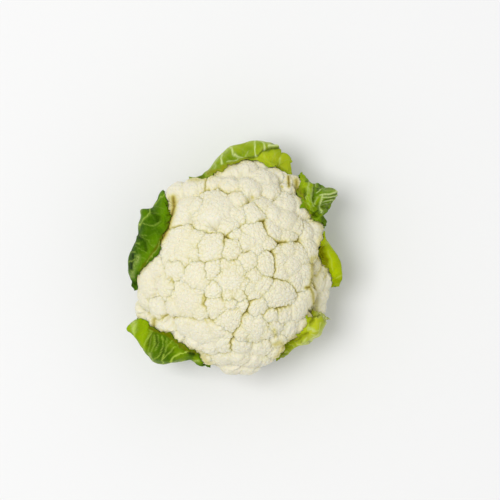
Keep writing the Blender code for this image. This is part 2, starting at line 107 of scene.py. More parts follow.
# Fine relief of the curd; a pair is a depth and the distance over which it fades, in millimetres
CREASE = (1.25, 0.55)
PIT = (1.7, 1.3)
LUMP_CREASE = (0.6, 0.75)
FAINT_CREASE = 0.25
UNDERSIDE_CREASE = 0.7
UNDERSIDE_FROM = 12.0
DEEP_CREASE_REACH = 4.5
BORDER_REACH = 5.0
GRAIN_HEIGHT = 0.38
KNOBS = {"spacing": 4.2, "crowding": 1.1, "jitter": 0.16, "top": 0.4, "fall": 1.6, "fold": (0.45, 0.38)}
GRAINS = {"spacing": 1.7, "crowding": 1.0, "jitter": 0.2, "top": 0.5, "fall": 2.2, "fold": (0.4, 0.3)}
PAINTED_SHADE_DROP = 15.0

# How strong the painted shade is in each kind of crease, pit and fold
CREASE_DARKNESS = 0.62
CREASE_DARK_REACH = 0.65
PIT_DARKNESS = 0.9
LUMP_DARKNESS = 0.16
KNOB_DARKNESS = 0.32
GRAIN_DARKNESS = 0.06

FLORETS = {
    "top": [
        (-17, 62, 5.2), (-4, 61, 6), (-4, 71.5, 7), (10, 60, 6.8), (8, 73.5, 6.5),
        (19, 75, 6.8), (21, 66, 6.8), (26, 57, 6), (29, 69, 5.2),
    ],
    "top_right": [(35, 66, 5.2), (44, 63, 5.2), (39, 57, 4.5)],
    "upper_right": [
        (21, 45, 6.8), (28, 41, 4.5), (26, 29, 7.5), (37, 48, 6.8),
        (38, 36, 6.8), (46, 30, 5.2), (40, 22, 6), (48, 44, 6.8),
    ],
    "right": [(53, 26, 5.2), (60, 30, 5.5), (61, 22, 4.5), (55, 13, 6.8)],
    "upper_left": [(-16, 43, 12), (1, 51, 5.2), (4, 38, 6), (-4, 30, 5.2), (-25, 32, 5.2)],
    "wedge": [(13, 40, 6)],
    "upper_left_edge": [
        (-37, 44, 7.5), (-32, 59, 6.8), (-25, 61, 3.8), (-46, 56, 5.5), (-44, 34, 5.2), (-29, 46, 4.5),
    ],
    "left": [(-42, 15, 12.8), (-30, 22, 6), (-31, 10, 5.2)],
    "mid_left": [(-19, 15, 9)],
    "mid_left_small": [(-3, 13, 6.8)],
    "middle_upper": [(16, 25, 9), (1, 22, 5.2), (8, 19, 5.2), (24, 18, 5.2), (16, 12, 4.5)],
    "middle_knob": [(10, 3, 6)],
    "middle_right": [(23, 1, 8.2)],
    "centre": [(-3, -10, 10.5), (-10, -1, 6), (4, -2, 4.5), (7, -14, 5.2), (-5, -22, 5.2), (3, -22, 4.5)],
    "centre_left": [(-17, -2, 6)],
    "left_of_centre": [(-30, -8, 9.8)],
    "left_low": [(-46, -2, 6.8)],
    "far_left": [(-64.5, -12, 10.5), (-53, -16, 6.8), (-67, -24, 7.5), (-60, 2, 9)],
    "lower_left": [(-36, -26, 12), (-46, -31, 6), (-26, -34, 6)],
    "lower_left_small": [(-58, -32, 6.8)],
    "lower_left_edge": [(-69.5, -35.5, 6.5), (-52, -45, 7.5), (-62, -43, 5.2)],
    "below_centre": [(-14, -30, 7.5), (-4, -28, 4.5)],
    "below_centre_left": [(-17, -19, 5.2)],
    "seam": [(-4, -39, 9), (5, -30, 5.2)],
    "chain": [(14, -7, 5.2), (10, -16, 4.5), (21, -13, 6.8), (14, -22, 5.2)],
    "lower_knob": [(16, -31, 6.8)],
    "right_of_centre": [(32, -22, 10.5)],
    "right_middle": [
        (31, 13, 4.5), (34, 4, 6), (40, 13, 6), (49, 8, 6.8), (44, 0, 6),
        (35, -5, 6), (52, -4, 6), (44, -11, 6.8), (52, -13, 4.5),
    ],
    "lower_right": [(52, -24, 7.5), (36, -38, 6.8), (46, -34, 7.5), (39, -48, 7.5), (50, -45, 6.8)],
    "lower_right_small": [(26, -38, 4.5), (29, -46, 4.5)],
    "low_middle": [(15, -45, 11.2), (24, -50, 5.2), (5, -51, 5.2)],
    "low_left": [
        (-24, -51, 9.8), (-36, -46, 7.5), (-14, -48, 6), (-9, -59, 6.8), (-5, -51, 4.5),
        (-19, -61, 5.2), (-30, -60, 6.8),
    ],
    "low_left_edge": [(-23, -68, 6), (-44, -55, 6.8)],
    "bottom": [
        (-10, -68, 6.8), (4, -60, 6), (20, -61, 7.5), (3, -69, 5.2),
        (12, -70, 6), (21, -69, 6), (-2, -76, 6), (9, -77, 5.2),
    ],
    "bottom_right": [(28, -64, 5.2), (32, -56, 5.2)],
    "right_edge": [
        (60, 0, 5.2), (66, -2, 4.5), (61, -13, 6), (67, -11, 6), (64, -23, 6), (63, -33, 5.2),
    ],
}
SET_BACK = {"right_edge": 10.0, "top_right": 3.0}

# Radius of the curd seen from above, every 22.5 degrees from +X round by +Y
HEAD_OUTLINE = (71, 70, 73, 81, 80, 73.5, 78.5, 77, 77, 81, 76, 77.5, 83, 76, 68, 74)

# The deepest creases, as lines in plan
DEEP_CREASES = [
    [(-25, 65), (-22, 59), (-17, 57), (7, 57), (11, 50), (16, 43), (19, 34), (26, 25), (30, 19)],
    [(30, 19), (28, 14), (31, 3), (29, -7), (37, -13), (42, -21), (36, -30), (27, -34)],
    [(30, 19), (49, 16)],
    [(-45, 31), (-27, 28), (-24, 26), (-7, 24), (-7, 17)],
    [(12, -25), (8, -37), (2, -46), (-1, -52), (-3, -59), (-8, -63), (-18, -66)],
    [(48, -16), (55, -16), (58, -24), (58, -39), (52, -46)],
    [(-24, -23), (-24, -30)],
    [(-53, -37), (-34, -40), (-21, -37)],
]

# Scale of the photo in millimetres a pixel, and the pixel over the stalk
PIXEL = 0.75
PHOTO_MIDDLE = (236, 266)

# Width in millimetres and strength of the shade along the leaves' upper edges
EDGE_SHADE = (2.2, 0.5)

# Painted shade on the curd: yellow-brown where it lies in the green shade of the leaves, and darker along
# some creases and hollows: width in millimetres, strength, and the pixels of a line read from the photo, as x
# and y in turn
PAINTED_SHADE_LINES = [
    (2.4, 1, 174, 198, 175, 208, 171, 222, 166, 235, 160, 244), (1.5, 0.5, 156, 256, 146, 266, 136, 278),
    (2.2, 0.8, 155, 319, 154, 329), (2.2, 0.7, 149, 331, 158, 331, 168, 333, 180, 344, 191, 350, 200, 356),
    (1.8, 0.6, 204, 176, 222, 172, 233, 163.5, 243, 158.5, 256, 156.5), (1.2, 0.4, 262, 158, 275, 165),
    (2.4, 0.9, 296, 181, 297, 192, 303, 199, 309, 207), (1.3, 1, 288, 177, 288.5, 187),
    (1, 0.8, 281, 187, 282, 188), (1.8, 0.6, 311, 258, 316, 257, 322, 262, 327, 270),
    (5, 0.22, 318, 262, 319, 272, 314, 284, 314, 300), (1.6, 0.7, 311, 260, 311, 278, 309, 285),
    (1.5, 1, 305, 287, 308, 286.5), (1.6, 0.8, 309, 287, 312, 293, 313, 303),
    (1, 0.6, 321, 262, 320, 269, 316, 276, 313, 275), (1, 0.5, 324, 270, 326, 274, 323, 279),
    (1.5, 0.5, 316, 301, 316, 312), (2.4, 0.6, 275, 343, 279, 341, 284, 345, 281, 350),
    (1.5, 0.5, 274, 328, 275, 335), (1.2, 0.8, 312, 314, 308, 324, 305, 331, 292, 339, 282, 347),
    (1, 0.7, 252, 198, 253, 199), (0.9, 0.6, 228, 235, 229, 238), (0.9, 0.5, 206, 318, 208, 321),
    (1, 0.45, 173, 278, 175, 282), (0.9, 0.5, 204, 297, 204, 302), (1, 0.4, 163, 315, 168, 314),
]

# For each leaf: slot, angle of the midrib, number and depth of its edge's waves, and its outline from
# above as angle, radius of the fold and radius of the upper edge
LEAVES = {
    "leaf_top": ("leaf_pale_green", 92, 3.5, 1.4, [
        (118, 74.5, 73), (113.5, 73.3, 70.5), (109.5, 73.8, 69.3), (106.5, 74.5, 69.3),
        (102.5, 77.8, 70), (98, 83, 71.5), (93, 88, 75), (86.7, 92.5, 79), (81, 95, 81), (76, 96, 81),
        (72.5, 96.3, 80.2), (70.3, 95.5, 79.5), (68.6, 90.3, 79.3), (66.6, 91.3, 79.8), (64.8, 91, 81),
        (63.2, 88, 83.8),
    ]),
    "leaf_upper_right": ("leaf_fresh_green", 37, 4.0, 1.6, [
        (55, 82, 79.5), (53, 84.5, 75), (50.5, 84.5, 71.5), (47, 84, 69.5), (44.5, 85.5, 68.5),
        (42, 88.5, 68), (39.5, 92, 67.6), (37.5, 93.5, 67.4), (35.7, 93, 67.2), (34.3, 88.5, 67),
        (33, 82.5, 66.2), (31.8, 76.5, 66), (30.3, 73.5, 67.5), (28, 72.5, 69.5), (25.5, 72, 70.2),
        (23.8, 71.3, 70.2),
    ]),
    "leaf_right": ("leaf_yellow_green", 4, 2.5, 0.9, [
        (20, 70, 68), (16, 70.5, 64.3), (11.5, 72.3, 63), (6.5, 75.3, 64.2), (2, 77.8, 66.8),
        (358, 79.3, 70), (353.5, 80, 73.5), (351, 79.5, 76), (349, 78.8, 77.3),
    ]),
    "leaf_lower_right": ("leaf_light_green", 312, 6.0, 0.9, [
        (331, 75.5, 67.5), (328.5, 77.5, 64.5), (325, 79.3, 65.8), (321, 80.7, 67.5), (317.5, 79.2, 69),
        (314, 78.4, 69), (309, 76.3, 68), (304, 76.2, 69), (300, 76.8, 70.2), (297, 77, 72),
        (293.8, 76, 74.5),
    ]),
    "leaf_lower_left": ("leaf_mid_green", 229, 3.0, 1.4, [
        (255.5, 77.3, 76), (252, 76.5, 73.8), (249, 76, 71.5), (245.5, 77, 69.8), (241, 80.5, 70),
        (236.5, 87, 71), (232, 92.3, 71.5), (227, 94.5, 71.3), (222.5, 93.8, 73), (218.5, 93, 77),
        (214.5, 93.3, 81), (212.2, 94, 81.7), (210.4, 94.4, 82), (209.4, 90.5, 82), (208.4, 86, 82.8),
    ]),
    "leaf_left": ("leaf_deep_green", 157, 4.0, 1.3, [
        (193.5, 78.5, 77), (190.5, 79.5, 76), (187.5, 79.8, 75), (185, 80.3, 73.3), (182.4, 80.6, 70.8),
        (178.7, 80.6, 66), (174.4, 80.5, 61.8), (170, 79.6, 59.3), (165.5, 78, 58.5), (160, 77.5, 58.7),
        (155, 79, 59), (151, 82, 59.5), (149, 83, 60), (147, 77.3, 60.3), (144.5, 76.5, 61),
        (141.5, 76.8, 62.5), (138.5, 77.8, 65), (136, 78.6, 67.5), (134, 78, 71),
    ]),
}


def placed(name, data, place=(0, 0, 0)):
    obj = bpy.data.objects.new(name, data)
    bpy.context.scene.collection.objects.link(obj)
    obj.location = place
    return obj


def mesh_object(name, points, faces):
    """A smooth object from points in millimetres and faces."""
    mesh = bpy.data.meshes.new(name)
    mesh.from_pydata((np.asarray(points) * MM).tolist(), [], np.asarray(faces).tolist())
    mesh.polygons.foreach_set("use_smooth", np.full(len(mesh.polygons), True))
    mesh.update()
    return placed(name, mesh)


def attribute(obj, name, values):
    layer = obj.data.attributes.new(name, "FLOAT", "POINT")
    layer.data.foreach_set("value", np.asarray(values, np.float32))


def dress(obj, node, material):
    obj.data.materials.append(material)
    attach(obj, "root")
    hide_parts(node)


def unit(vectors):
    return vectors / np.linalg.norm(vectors, axis=-1, keepdims=True)


def nearest_to(corners, places):
    """Distance in plan of each place to a line through the given corners."""
    nearest = np.full(places.shape[:-1], 1e3)
    for start, end in zip(corners, corners[1:]):
        step = end - start
        share = np.clip((places - start) @ step / (step @ step), 0, 1)
        nearest = np.minimum(nearest, np.linalg.norm(places - start - share[..., None] * step, axis=-1))
    return nearest


def soft_line(width, strength, corners, places):
    return strength * np.exp(-(nearest_to(corners, places) / width) ** 2)


def marked(marks, places):
    """How strongly the marks colour each place in plan."""
    total = np.zeros(places.shape[:-1])
    for width, strength, *line in marks:
        corners = (np.reshape(line, (-1, 2)) - PHOTO_MIDDLE) * (PIXEL, -PIXEL)
        total = np.maximum(total, soft_line(width, strength, corners, places))
    return total


def near_leaf_edges(places):
    """How strongly the upper edges of the leaves shade each place in plan."""
    total = np.zeros(places.shape[:-1])
    for *_, outline in LEAVES.values():
        turns, _, edge = np.array(outline).T
        turns = np.radians(turns)
        corners = np.stack([edge * np.cos(turns), edge * np.sin(turns)], 1)
        total = np.maximum(total, soft_line(*EDGE_SHADE, corners, places))
    return total


# Where the lumps are

def ball_radius(half_width):
    return BALL_LEAST + BALL_GROWTH * half_width ** 2


def lump_ball(x, y, half_width, set_back):
    """The ball of a lump: it touches the dome from inside, and at the rim it reaches past its middle."""
    ball = ball_radius(half_width)
    reach = np.array([x / CURD_HALF_X, y / CURD_HALF_Y])
    up = math.sqrt(max(1 - reach @ reach, FLATTEST_RIM))
    normal = np.array([reach[0] / CURD_HALF_X, reach[1] / CURD_HALF_Y, up / CURD_RISE])
    normal /= np.linalg.norm(normal)
    flat = min(math.hypot(normal[0], normal[1]), 1 - RIM_REACH * half_width / ball)
    way = unit(np.array([x, y])) * flat
    x, y = np.array([x, y]) - way * ball
    return x, y, WAIST_HEIGHT + CURD_RISE * up - math.sqrt(1 - flat ** 2) * ball - set_back, ball


def spiral(count):
    """Directions spread evenly over a sphere."""
    n = np.arange(count)
    height = 1 - 2 * (n + 0.5) / count
    ring = np.sqrt(1 - height ** 2)
    return np.stack([ring * np.cos(n * GOLDEN_TURN), ring * np.sin(n * GOLDEN_TURN), height], 1)


def head_outline(turn):
    places = np.arange(len(HEAD_OUTLINE) + 1) * 2 * math.pi / len(HEAD_OUTLINE)
    return np.interp(turn % (2 * math.pi), places, (*HEAD_OUTLINE, HEAD_OUTLINE[0]))


def filler_balls():
    balls = []
    ball = ball_radius(FILLER_LUMP)
    clusters = spiral(CLUSTER_COUNT)
    for way in spiral(FILLER_COUNT):
        above = way[2] > 0
        half_z = CURD_RISE - FILLER_INSET - ball - FILLER_SUNK if above else CURD_DROP - FILLER_SAG * ball
        turn = math.atan2(way[1], way[0])
        out = (head_outline(turn) - FILLER_INSET - ball) * math.hypot(way[0], way[1])
        number = len(FLORETS) + int(np.argmax(clusters @ way))
        place = (out * math.cos(turn), out * math.sin(turn), WAIST_HEIGHT + half_z * way[2])
        balls.append((*place, ball, number, FILLER_LUMP))
    return balls


def branch_balls():
    balls = []
    for n in range(BRANCH_COUNT):
        turn = 2 * math.pi * (n + BRANCH_SWAY * math.sin(2.3 * n)) / BRANCH_COUNT
        number = len(FLORETS) + CLUSTER_COUNT + n
        for share in np.linspace(0, 1, BRANCH_STEPS):
            out = BRANCH_START + BRANCH_RUN * share
            place = (out * math.cos(turn), out * math.sin(turn), BRANCH_HEIGHT + BRANCH_RISE * share)
            balls.append((*place, BRANCH_RADIUS + BRANCH_SWELL * share, number, BRANCH_LUMP))
    return balls


def curd_balls():
    """Rows of x, y, height over the waist, radius, floret number and half width."""
    balls = []
    for number, (name, lumps) in enumerate(FLORETS.items()):
        weights = np.array([half_width ** 2 for x, y, half_width in lumps])
        middle = weights @ np.array([(x, y) for x, y, half_width in lumps]) / weights.sum()
        for x, y, half_width in lumps:
            sag = FLORET_SAG * min(np.sum((middle - (x, y)) ** 2), MOST_SAG / FLORET_SAG)
            ball = lump_ball(x, y, half_width, SET_BACK.get(name, 0.0) + sag)
            balls.append((*ball, number, half_width))
    balls = np.array(balls + filler_balls() + branch_balls())
    balls[:, 2] -= WAIST_HEIGHT
    return balls


# The curd's surface, as a distance from the middle of the head along each direction

def sphere_grid(steps):
    """Unit directions and triangles of an icosahedron with each side cut into steps."""
    g = (1 + math.sqrt(5)) / 2
    corners = np.array([
        (-1, g, 0), (1, g, 0), (-1, -g, 0), (1, -g, 0), (0, -1, g), (0, 1, g),
        (0, -1, -g), (0, 1, -g), (g, 0, -1), (g, 0, 1), (-g, 0, -1), (-g, 0, 1),
    ])
    sides = [
        (0, 11, 5), (0, 5, 1), (0, 1, 7), (0, 7, 10), (0, 10, 11), (1, 5, 9), (5, 11, 4),
        (11, 10, 2), (10, 7, 6), (7, 1, 8), (3, 9, 4), (3, 4, 2), (3, 2, 6), (3, 6, 8),
        (3, 8, 9), (4, 9, 5), (2, 4, 11), (6, 2, 10), (8, 6, 7), (9, 8, 1),
    ]
    row = np.concatenate([np.full(r + 1, r) for r in range(steps + 1)])
    column = np.concatenate([np.arange(r + 1) for r in range(steps + 1)])
    start = row * (row + 1) // 2 + column
    inner = row < steps
    here, r = start[inner], row[inner]
    below = here + r + 1
    up = np.stack([here, below, below + 1], 1)
    turned = column[inner] < r
    down = np.stack([here[turned], below[turned] + 1, here[turned] + 1], 1)
    one = np.concatenate([up, down])
    points, faces = [], []
    for n, (a, b, c) in enumerate(sides):
        a, b, c = corners[a], corners[b], corners[c]
        points.append(a + (b - a) * row[:, None] / steps + (c - b) * column[:, None] / steps)
        faces.append(one + n * len(row))
    points = np.concatenate(points)
    _, first, index = np.unique(np.round(points, 6), axis=0, return_index=True, return_inverse=True)
    return points[first], index.reshape(-1)[np.concatenate(faces)]


def wobble(points, length, seed):
    """A smooth random vector at each point, of about unit size, that changes over the given length."""
    draw = np.random.default_rng(seed)
    total = np.zeros_like(points)
    for _ in range(9):
        wave = draw.normal(size=3) * 2.2 / length
        total += draw.normal(size=3) * np.sin(points @ wave + draw.uniform(0, 6.3))[:, None]
    return total / 2.1


def floret_fields(directions, balls):
    """For each direction: reach and number of the outermost floret, and distances to two of its borders."""
    count = len(directions)
    reaches = np.full((3, count), -1e3)
    slopes = np.zeros((3, count, 3))
    owner = np.full(count, -1)
    for number in np.unique(balls[:, 4]):
        total = np.zeros(count)
        slope = np.zeros((count, 3))
        for x, y, z, radius, _, _ in balls[balls[:, 4] == number]:
            centre = np.array([x, y, z])
            along = directions @ centre
            beside = along ** 2 - centre @ centre + radius ** 2
            hit = np.flatnonzero((beside > 0) & (along > -radius))
            root = np.sqrt(beside[hit])
            weight = np.exp((along[hit] + root) / BLEND)
            total[hit] += weight
            tangent = centre - along[hit, None] * directions[hit]
            slope[hit] += (weight / np.maximum(root, 1.0))[:, None] * tangent
        here = np.flatnonzero(total)
        reach = BLEND * np.log(total[here])
        slope = slope[here] / total[here, None]
        owner[here[reach > reaches[0, here]]] = number
        for rank in range(3):
            ahead = reach > reaches[rank, here]
            moved = here[ahead]
            former, former_slope = reaches[rank, moved], slopes[rank, moved]
            reaches[rank, moved], slopes[rank, moved] = reach[ahead], slope[ahead]
            reach[ahead], slope[ahead] = former, former_slope
    borders = []
    for rank in (1, 2):
        steepness = np.linalg.norm(slopes[0] - slopes[rank], axis=1)
        borders.append((reaches[0] - reaches[rank]) / np.maximum(steepness, SHALLOWEST_ANGLE))
    return reaches[0], owner, *borders


def lump_distance(points, owner, balls):
    """Distance of each point to the border between the lumps of its own floret."""
    power = np.full((2, len(points)), 1e6)
    nearest = np.zeros((2, len(points)), int)
    for n, (x, y, z, radius, number, _) in enumerate(balls):
        own = np.flatnonzero(owner == number)
        here = np.sum((points[own] - (x, y, z)) ** 2, 1) - radius ** 2
        first = here < power[0, own]
        second = ~first & (here < power[1, own])
        moved = own[first]
        power[1, moved], nearest[1, moved] = power[0, moved], nearest[0, moved]
        power[0, moved], nearest[0, moved] = here[first], n
        power[1, own[second]], nearest[1, own[second]] = here[second], n
    apart = np.linalg.norm(balls[nearest[0], :3] - balls[nearest[1], :3], axis=1)
    return np.minimum((power[1] - power[0]) / np.maximum(2 * apart, 1.0), 1e3)


def near_deep_crease(points):
    """One on the deepest creases, fading to nothing some millimetres away."""
    nearest = np.min([nearest_to(np.array(line), points[:, :2]) for line in DEEP_CREASES], 0)
    return np.exp(-(nearest / DEEP_CREASE_REACH) ** 2) * (points[:, 2] > 0)


def spiral_seeds(balls, spacing, crowding, jitter):
    """Points in a sunflower spiral on each lump's ball, without those that lie inside another ball."""
    seeds = []
    for x, y, z, radius, _, half_width in balls:
        centre = np.array([x, y, z])
        axis = unit(centre)
        across = unit(np.cross(axis, (0.31, 0.95, 0.1)))
        along = np.cross(axis, across)
        widest = 1 - math.cos(min(1.5, math.asin(min(1.0, 1.5 * half_width / radius))))
        count = max(3, round(2 * math.pi * radius ** 2 * widest / spacing ** 2))
        n = np.arange(count) + 0.5
        drop = 1 - widest * (n / count) ** crowding
        ring = np.sqrt(1 - drop ** 2)
        turn = n * GOLDEN_TURN + x
        way = drop[:, None] * axis + ring[:, None] * (
            np.cos(turn)[:, None] * across + np.sin(turn)[:, None] * along
        )
        seeds.append(centre + radius * way + rng.normal(size=way.shape) * jitter * spacing)
    seeds = np.concatenate(seeds)
    buried = np.full(len(seeds), 1e3)
    for x, y, z, radius, _, _ in balls:
        buried = np.minimum(buried, np.linalg.norm(seeds - (x, y, z), axis=1) - radius)
    return seeds[buried > -0.35 * spacing]


def cells(points, seeds):
    """For each point: distance to its nearest seed and to the border of that seed's cell."""
    tree = KDTree(len(seeds))
    for n, seed in enumerate(seeds):
        tree.insert(seed, n)
    tree.balance()
    first = np.empty(len(points), int)
    second = np.empty(len(points), int)
    find = tree.find_n
    for n, point in enumerate(points.tolist()):
        (_, first[n], _), (_, second[n], _) = find(point, 2)
    a, b = seeds[first], seeds[second]
    near = np.sum((points - a) ** 2, 1)
    border = (np.sum((points - b) ** 2, 1) - near) / (2 * np.linalg.norm(a - b, axis=1) + 1e-6)
    return np.sqrt(near), border, first


def core_radius(directions):
    """The least reach of the curd along each direction: a smooth core that no crease cuts into."""
    drop = np.where(directions[:, 2] > 0, CURD_RISE - CORE_INSET, CURD_DROP - CORE_LIFT)
    halves = np.full((len(drop), 3), (CURD_HALF_X - CORE_INSET, CURD_HALF_Y - CORE_INSET, 0.0))
    halves[:, 2] = drop
    return 1 / np.linalg.norm(directions / halves, axis=1)


def faded(distance, reach):
    """One at no distance, and about a third at the reach."""
    return np.exp(-np.maximum(distance, 0) / reach)


def bumps(points, balls, spacing, crowding, jitter, top, fall, fold):
    """Height of rounded bumps and of the folds between them, with each point's bump and their count."""
    seeds = spiral_seeds(balls, spacing, crowding, jitter)
    to_middle, to_border, bump = cells(points, seeds)
    between = faded(to_border, fold[1])
    return top - fall * (to_middle / spacing) ** 2 - fold[0] * between, between, bump, len(seeds)


def curd_surface():
    """Points, triangles, floret numbers and colour attributes of the whole curd."""
    balls = curd_balls()
    directions, faces = sphere_grid(SPHERE_STEPS)
    directions = unit(unit(directions) + (0, 0, CROWN_SHARE))
    at_rim = directions * CURD_HALF_X
    bent = unit(directions + sum(share * wobble(at_rim, length, seed) for share, length, seed in SWEEPS))
    radius, owner, to_floret, to_third = floret_fields(bent, balls)
    on_balls = bent * radius[:, None]
    to_lump = lump_distance(on_balls, owner, balls)
    near_border = faded(to_floret, BORDER_REACH)
    strength = FAINT_CREASE + (1 - FAINT_CREASE) * near_deep_crease(on_balls)
    under = on_balls[:, 2] < UNDERSIDE_FROM
    strength = np.where(under, np.maximum(strength, UNDERSIDE_CREASE), strength)
    uneven = 0.9 + 0.3 * (wobble(on_balls, 12, 8) + wobble(on_balls, 4, 9))[:, 0]
    strength *= np.clip(uneven, 0.25, 1.4)

    knob_height, knob_fold, knob, knob_count = bumps(on_balls, balls, **KNOBS)
    grain_height, grain_fold, *_ = bumps(on_balls, balls, **GRAINS)
    crease = strength * faded(to_floret, CREASE[1])
    pit = strength * faded(to_floret + to_third, PIT[1])
    fold = faded(to_lump, LUMP_CREASE[1])
    radius = radius - CREASE[0] * crease - PIT[0] * pit - LUMP_CREASE[0] * fold
    radius += (0.35 + 0.65 * near_border) * knob_height + GRAIN_HEIGHT * grain_height
    radius = np.maximum(radius, core_radius(directions))
    below = directions[:, 2] < -1e-6
    to_floor = (WAIST_HEIGHT - CURD_FLOOR) / np.where(below, -directions[:, 2], 1.0)
    radius = np.where(below, np.minimum(radius, to_floor), radius)
    points = directions * radius[:, None]
    points[:, 2] += WAIST_HEIGHT
    # Painted shade: the creases, pits and folds between lumps, knobs and grains are darkened and yellowed in
    # colour
    crease_shade = CREASE_DARKNESS * strength * faded(to_floret, CREASE_DARK_REACH) + PIT_DARKNESS * pit
    crease_shade += LUMP_DARKNESS * fold * (0.4 + near_border)
    crease_shade += KNOB_DARKNESS * knob_fold * (0.2 + near_border) + GRAIN_DARKNESS * grain_fold
    shade = rng.uniform(0, 1, knob_count)[knob]
    # Painted shade: the curd is tinted yellow-brown near the leaves' upper edges and along the listed lines,
    # above a height
    painted_shade = np.maximum(marked(PAINTED_SHADE_LINES, points[:, :2]), near_leaf_edges(points[:, :2]))
    painted_shade *= points[:, 2] > WAIST_HEIGHT - PAINTED_SHADE_DROP
    return points, faces, owner, {"crease_shade": np.clip(crease_shade, 0, 1), "shade": shade, "painted_shade": painted_shade}


def closed_patch(points, faces, face_owner, number):
    """The triangles of one floret, closed behind by a cone, with its points renumbered."""
    own = faces[face_owner == number]
    used, own = np.unique(own, return_inverse=True)
    own = own.reshape(-1, 3)
    patch = points[used]
    ends = np.concatenate([own[:, [0, 1]], own[:, [1, 2]], own[:, [2, 0]]])
    keys = set(map(tuple, ends.tolist()))
    rim = np.array([(a, b) for a, b in keys if (b, a) not in keys])
    rim = rim[np.lexsort((rim[:, 1], rim[:, 0]))]
    lips, around = np.unique(rim, return_inverse=True)
    around = around.reshape(-1, 2)
    middle = np.array([0, 0, WAIST_HEIGHT])
    tip = middle + 0.7 * (patch.mean(0) - middle)
    start = len(patch)
    cone = np.stack([around[:, 1] + start, around[:, 0] + start, np.full(len(rim), start + len(lips))], 1)
    return np.vstack([patch, patch[lips], tip]), np.vstack([own, cone]), used, lips


def node(tree, kind, **values):
    """A shader node with its inputs, or else its own settings, set by name."""
    made = tree.nodes.new(kind)
    for name, value in values.items():
        if name in made.inputs:
            made.inputs[name].default_value = value
        else:
            setattr(made, name, value)
    return made


def new_material(name, roughness, specular=0.5, sunk_share=0.0, sunk_reach=(1.0, 0.2, 0.1), sunk_depth=0.05):
    """A material into which a share of the light sinks, to the depth times the reach of each colour."""
    material = bpy.data.materials.new(name)
    material.use_nodes = True
    tree = material.node_tree
    shader = tree.nodes["Principled BSDF"]
    shader.inputs["Roughness"].default_value = roughness
    shader.inputs["Specular IOR Level"].default_value = specular
    shader.inputs["Subsurface Weight"].default_value = sunk_share
    shader.inputs["Subsurface Radius"].default_value = sunk_reach
    shader.inputs["Subsurface Scale"].default_value = sunk_depth
    return material, tree, shader


def painted(tree, label):
    """The values that the mesh carries on its points under the label."""
    return node(tree, "ShaderNodeAttribute", attribute_name=label).outputs["Fac"]


def noise(tree, place, scale, detail, roughness=0.5):
    made = node(tree, "ShaderNodeTexNoise", Scale=scale, Detail=detail, Roughness=roughness)
    tree.links.new(place, made.inputs["Vector"])
    return made.outputs["Fac"]


def add_bump(tree, shader, height, strength, distance):
    bump = node(tree, "ShaderNodeBump", Strength=strength, Distance=distance)
    tree.links.new(height, bump.inputs["Height"])
    tree.links.new(bump.outputs["Normal"], shader.inputs["Normal"])


def ramp(tree, source, stops):
    """The colour that the stops give for the value of the source."""
    made = tree.nodes.new("ShaderNodeValToRGB")
    elements = made.color_ramp.elements
    while len(elements) > 1:
        elements.remove(elements[-1])
    elements[0].position = stops[0][0]
    elements[0].color = (*stops[0][1], 1)
    for place, colour in stops[1:]:
        elements.new(place).color = (*colour, 1)
    tree.links.new(source, made.inputs["Fac"])
    return made.outputs["Color"]


def mixed(tree, kind, share, first, second):
    made = tree.nodes.new("ShaderNodeMix")
    made.data_type = "RGBA"
    made.blend_type = kind
    for socket, value in ((made.inputs[0], share), (made.inputs[6], first), (made.inputs[7], second)):
        if isinstance(value, (int, float)):
            socket.default_value = value
        elif isinstance(value, tuple):
            socket.default_value = (*value, 1)
        else:
            tree.links.new(value, socket)
    return made.outputs[2]


def curd_material():
    """Cream with painted shade that yellows and browns it in the creases and near the leaves, with a finely
    grained skin.
    """
    material, tree, shader = new_material(
        "curd cream", roughness=0.62, specular=0.3,
        sunk_share=0.5, sunk_reach=(1.0, 0.85, 0.55), sunk_depth=0.0018,
    )
    place = node(tree, "ShaderNodeTexCoord").outputs["Object"]
    # Painted shade in the creases, from cream to deep yellow-brown
    colour = ramp(tree, painted(tree, "crease_shade"), [
        (0.0, (0.785, 0.755, 0.62)), (0.2, (0.77, 0.735, 0.545)), (0.5, (0.66, 0.61, 0.29)),
        (1.0, (0.36, 0.30, 0.04)),
    ])
    shade = ramp(tree, painted(tree, "shade"), [(0, (0.97, 0.97, 0.95)), (1, (1, 1, 1))])
    patches = noise(tree, place, scale=45.0, detail=3.0)
    patches = ramp(tree, patches, [(0.35, (1.0, 0.99, 0.95)), (0.65, (1, 1, 1))])
    # Painted shade near the leaves, from cream to yellow-brown
    painted_shade = ramp(tree, painted(tree, "painted_shade"), [
        (0.0, (1, 1, 1)), (0.5, (0.86, 0.83, 0.5)), (0.85, (0.6, 0.54, 0.13)), (1.0, (0.34, 0.26, 0.04)),
    ])
    for tint in (shade, patches, painted_shade):
        colour = mixed(tree, "MULTIPLY", 1.0, colour, tint)
    tree.links.new(colour, shader.inputs["Base Color"])
    grain = noise(tree, place, scale=900.0, detail=4.0, roughness=0.6)
    add_bump(tree, shader, grain, strength=0.5, distance=0.0002)
    return material


def build_curd():
    """Builds the florets as pieces of one surface, and gives back that surface."""
    points, faces, floret, looks = curd_surface()
    material = curd_material()
    middle_x = np.bincount(floret, points[:, 0]) / np.maximum(np.bincount(floret), 1)
    beneath = len(FLORETS) + (middle_x[floret] > 0)
    face_owner = np.where(floret < len(FLORETS), floret, beneath)[faces[:, 0]]
    for number, name in enumerate((*FLORETS, "beneath_left", "beneath_right")):
        patch, own, used, lips = closed_patch(points, faces, face_owner, number)
        obj = mesh_object("floret_" + name, patch, own)
        for label, values in looks.items():
            values = values[used]
            attribute(obj, label, np.concatenate([values, values[lips], [1.0]]))
        dress(obj, "curd", material)
    return BVHTree.FromPolygons(points.tolist(), faces.tolist())


# Leaves

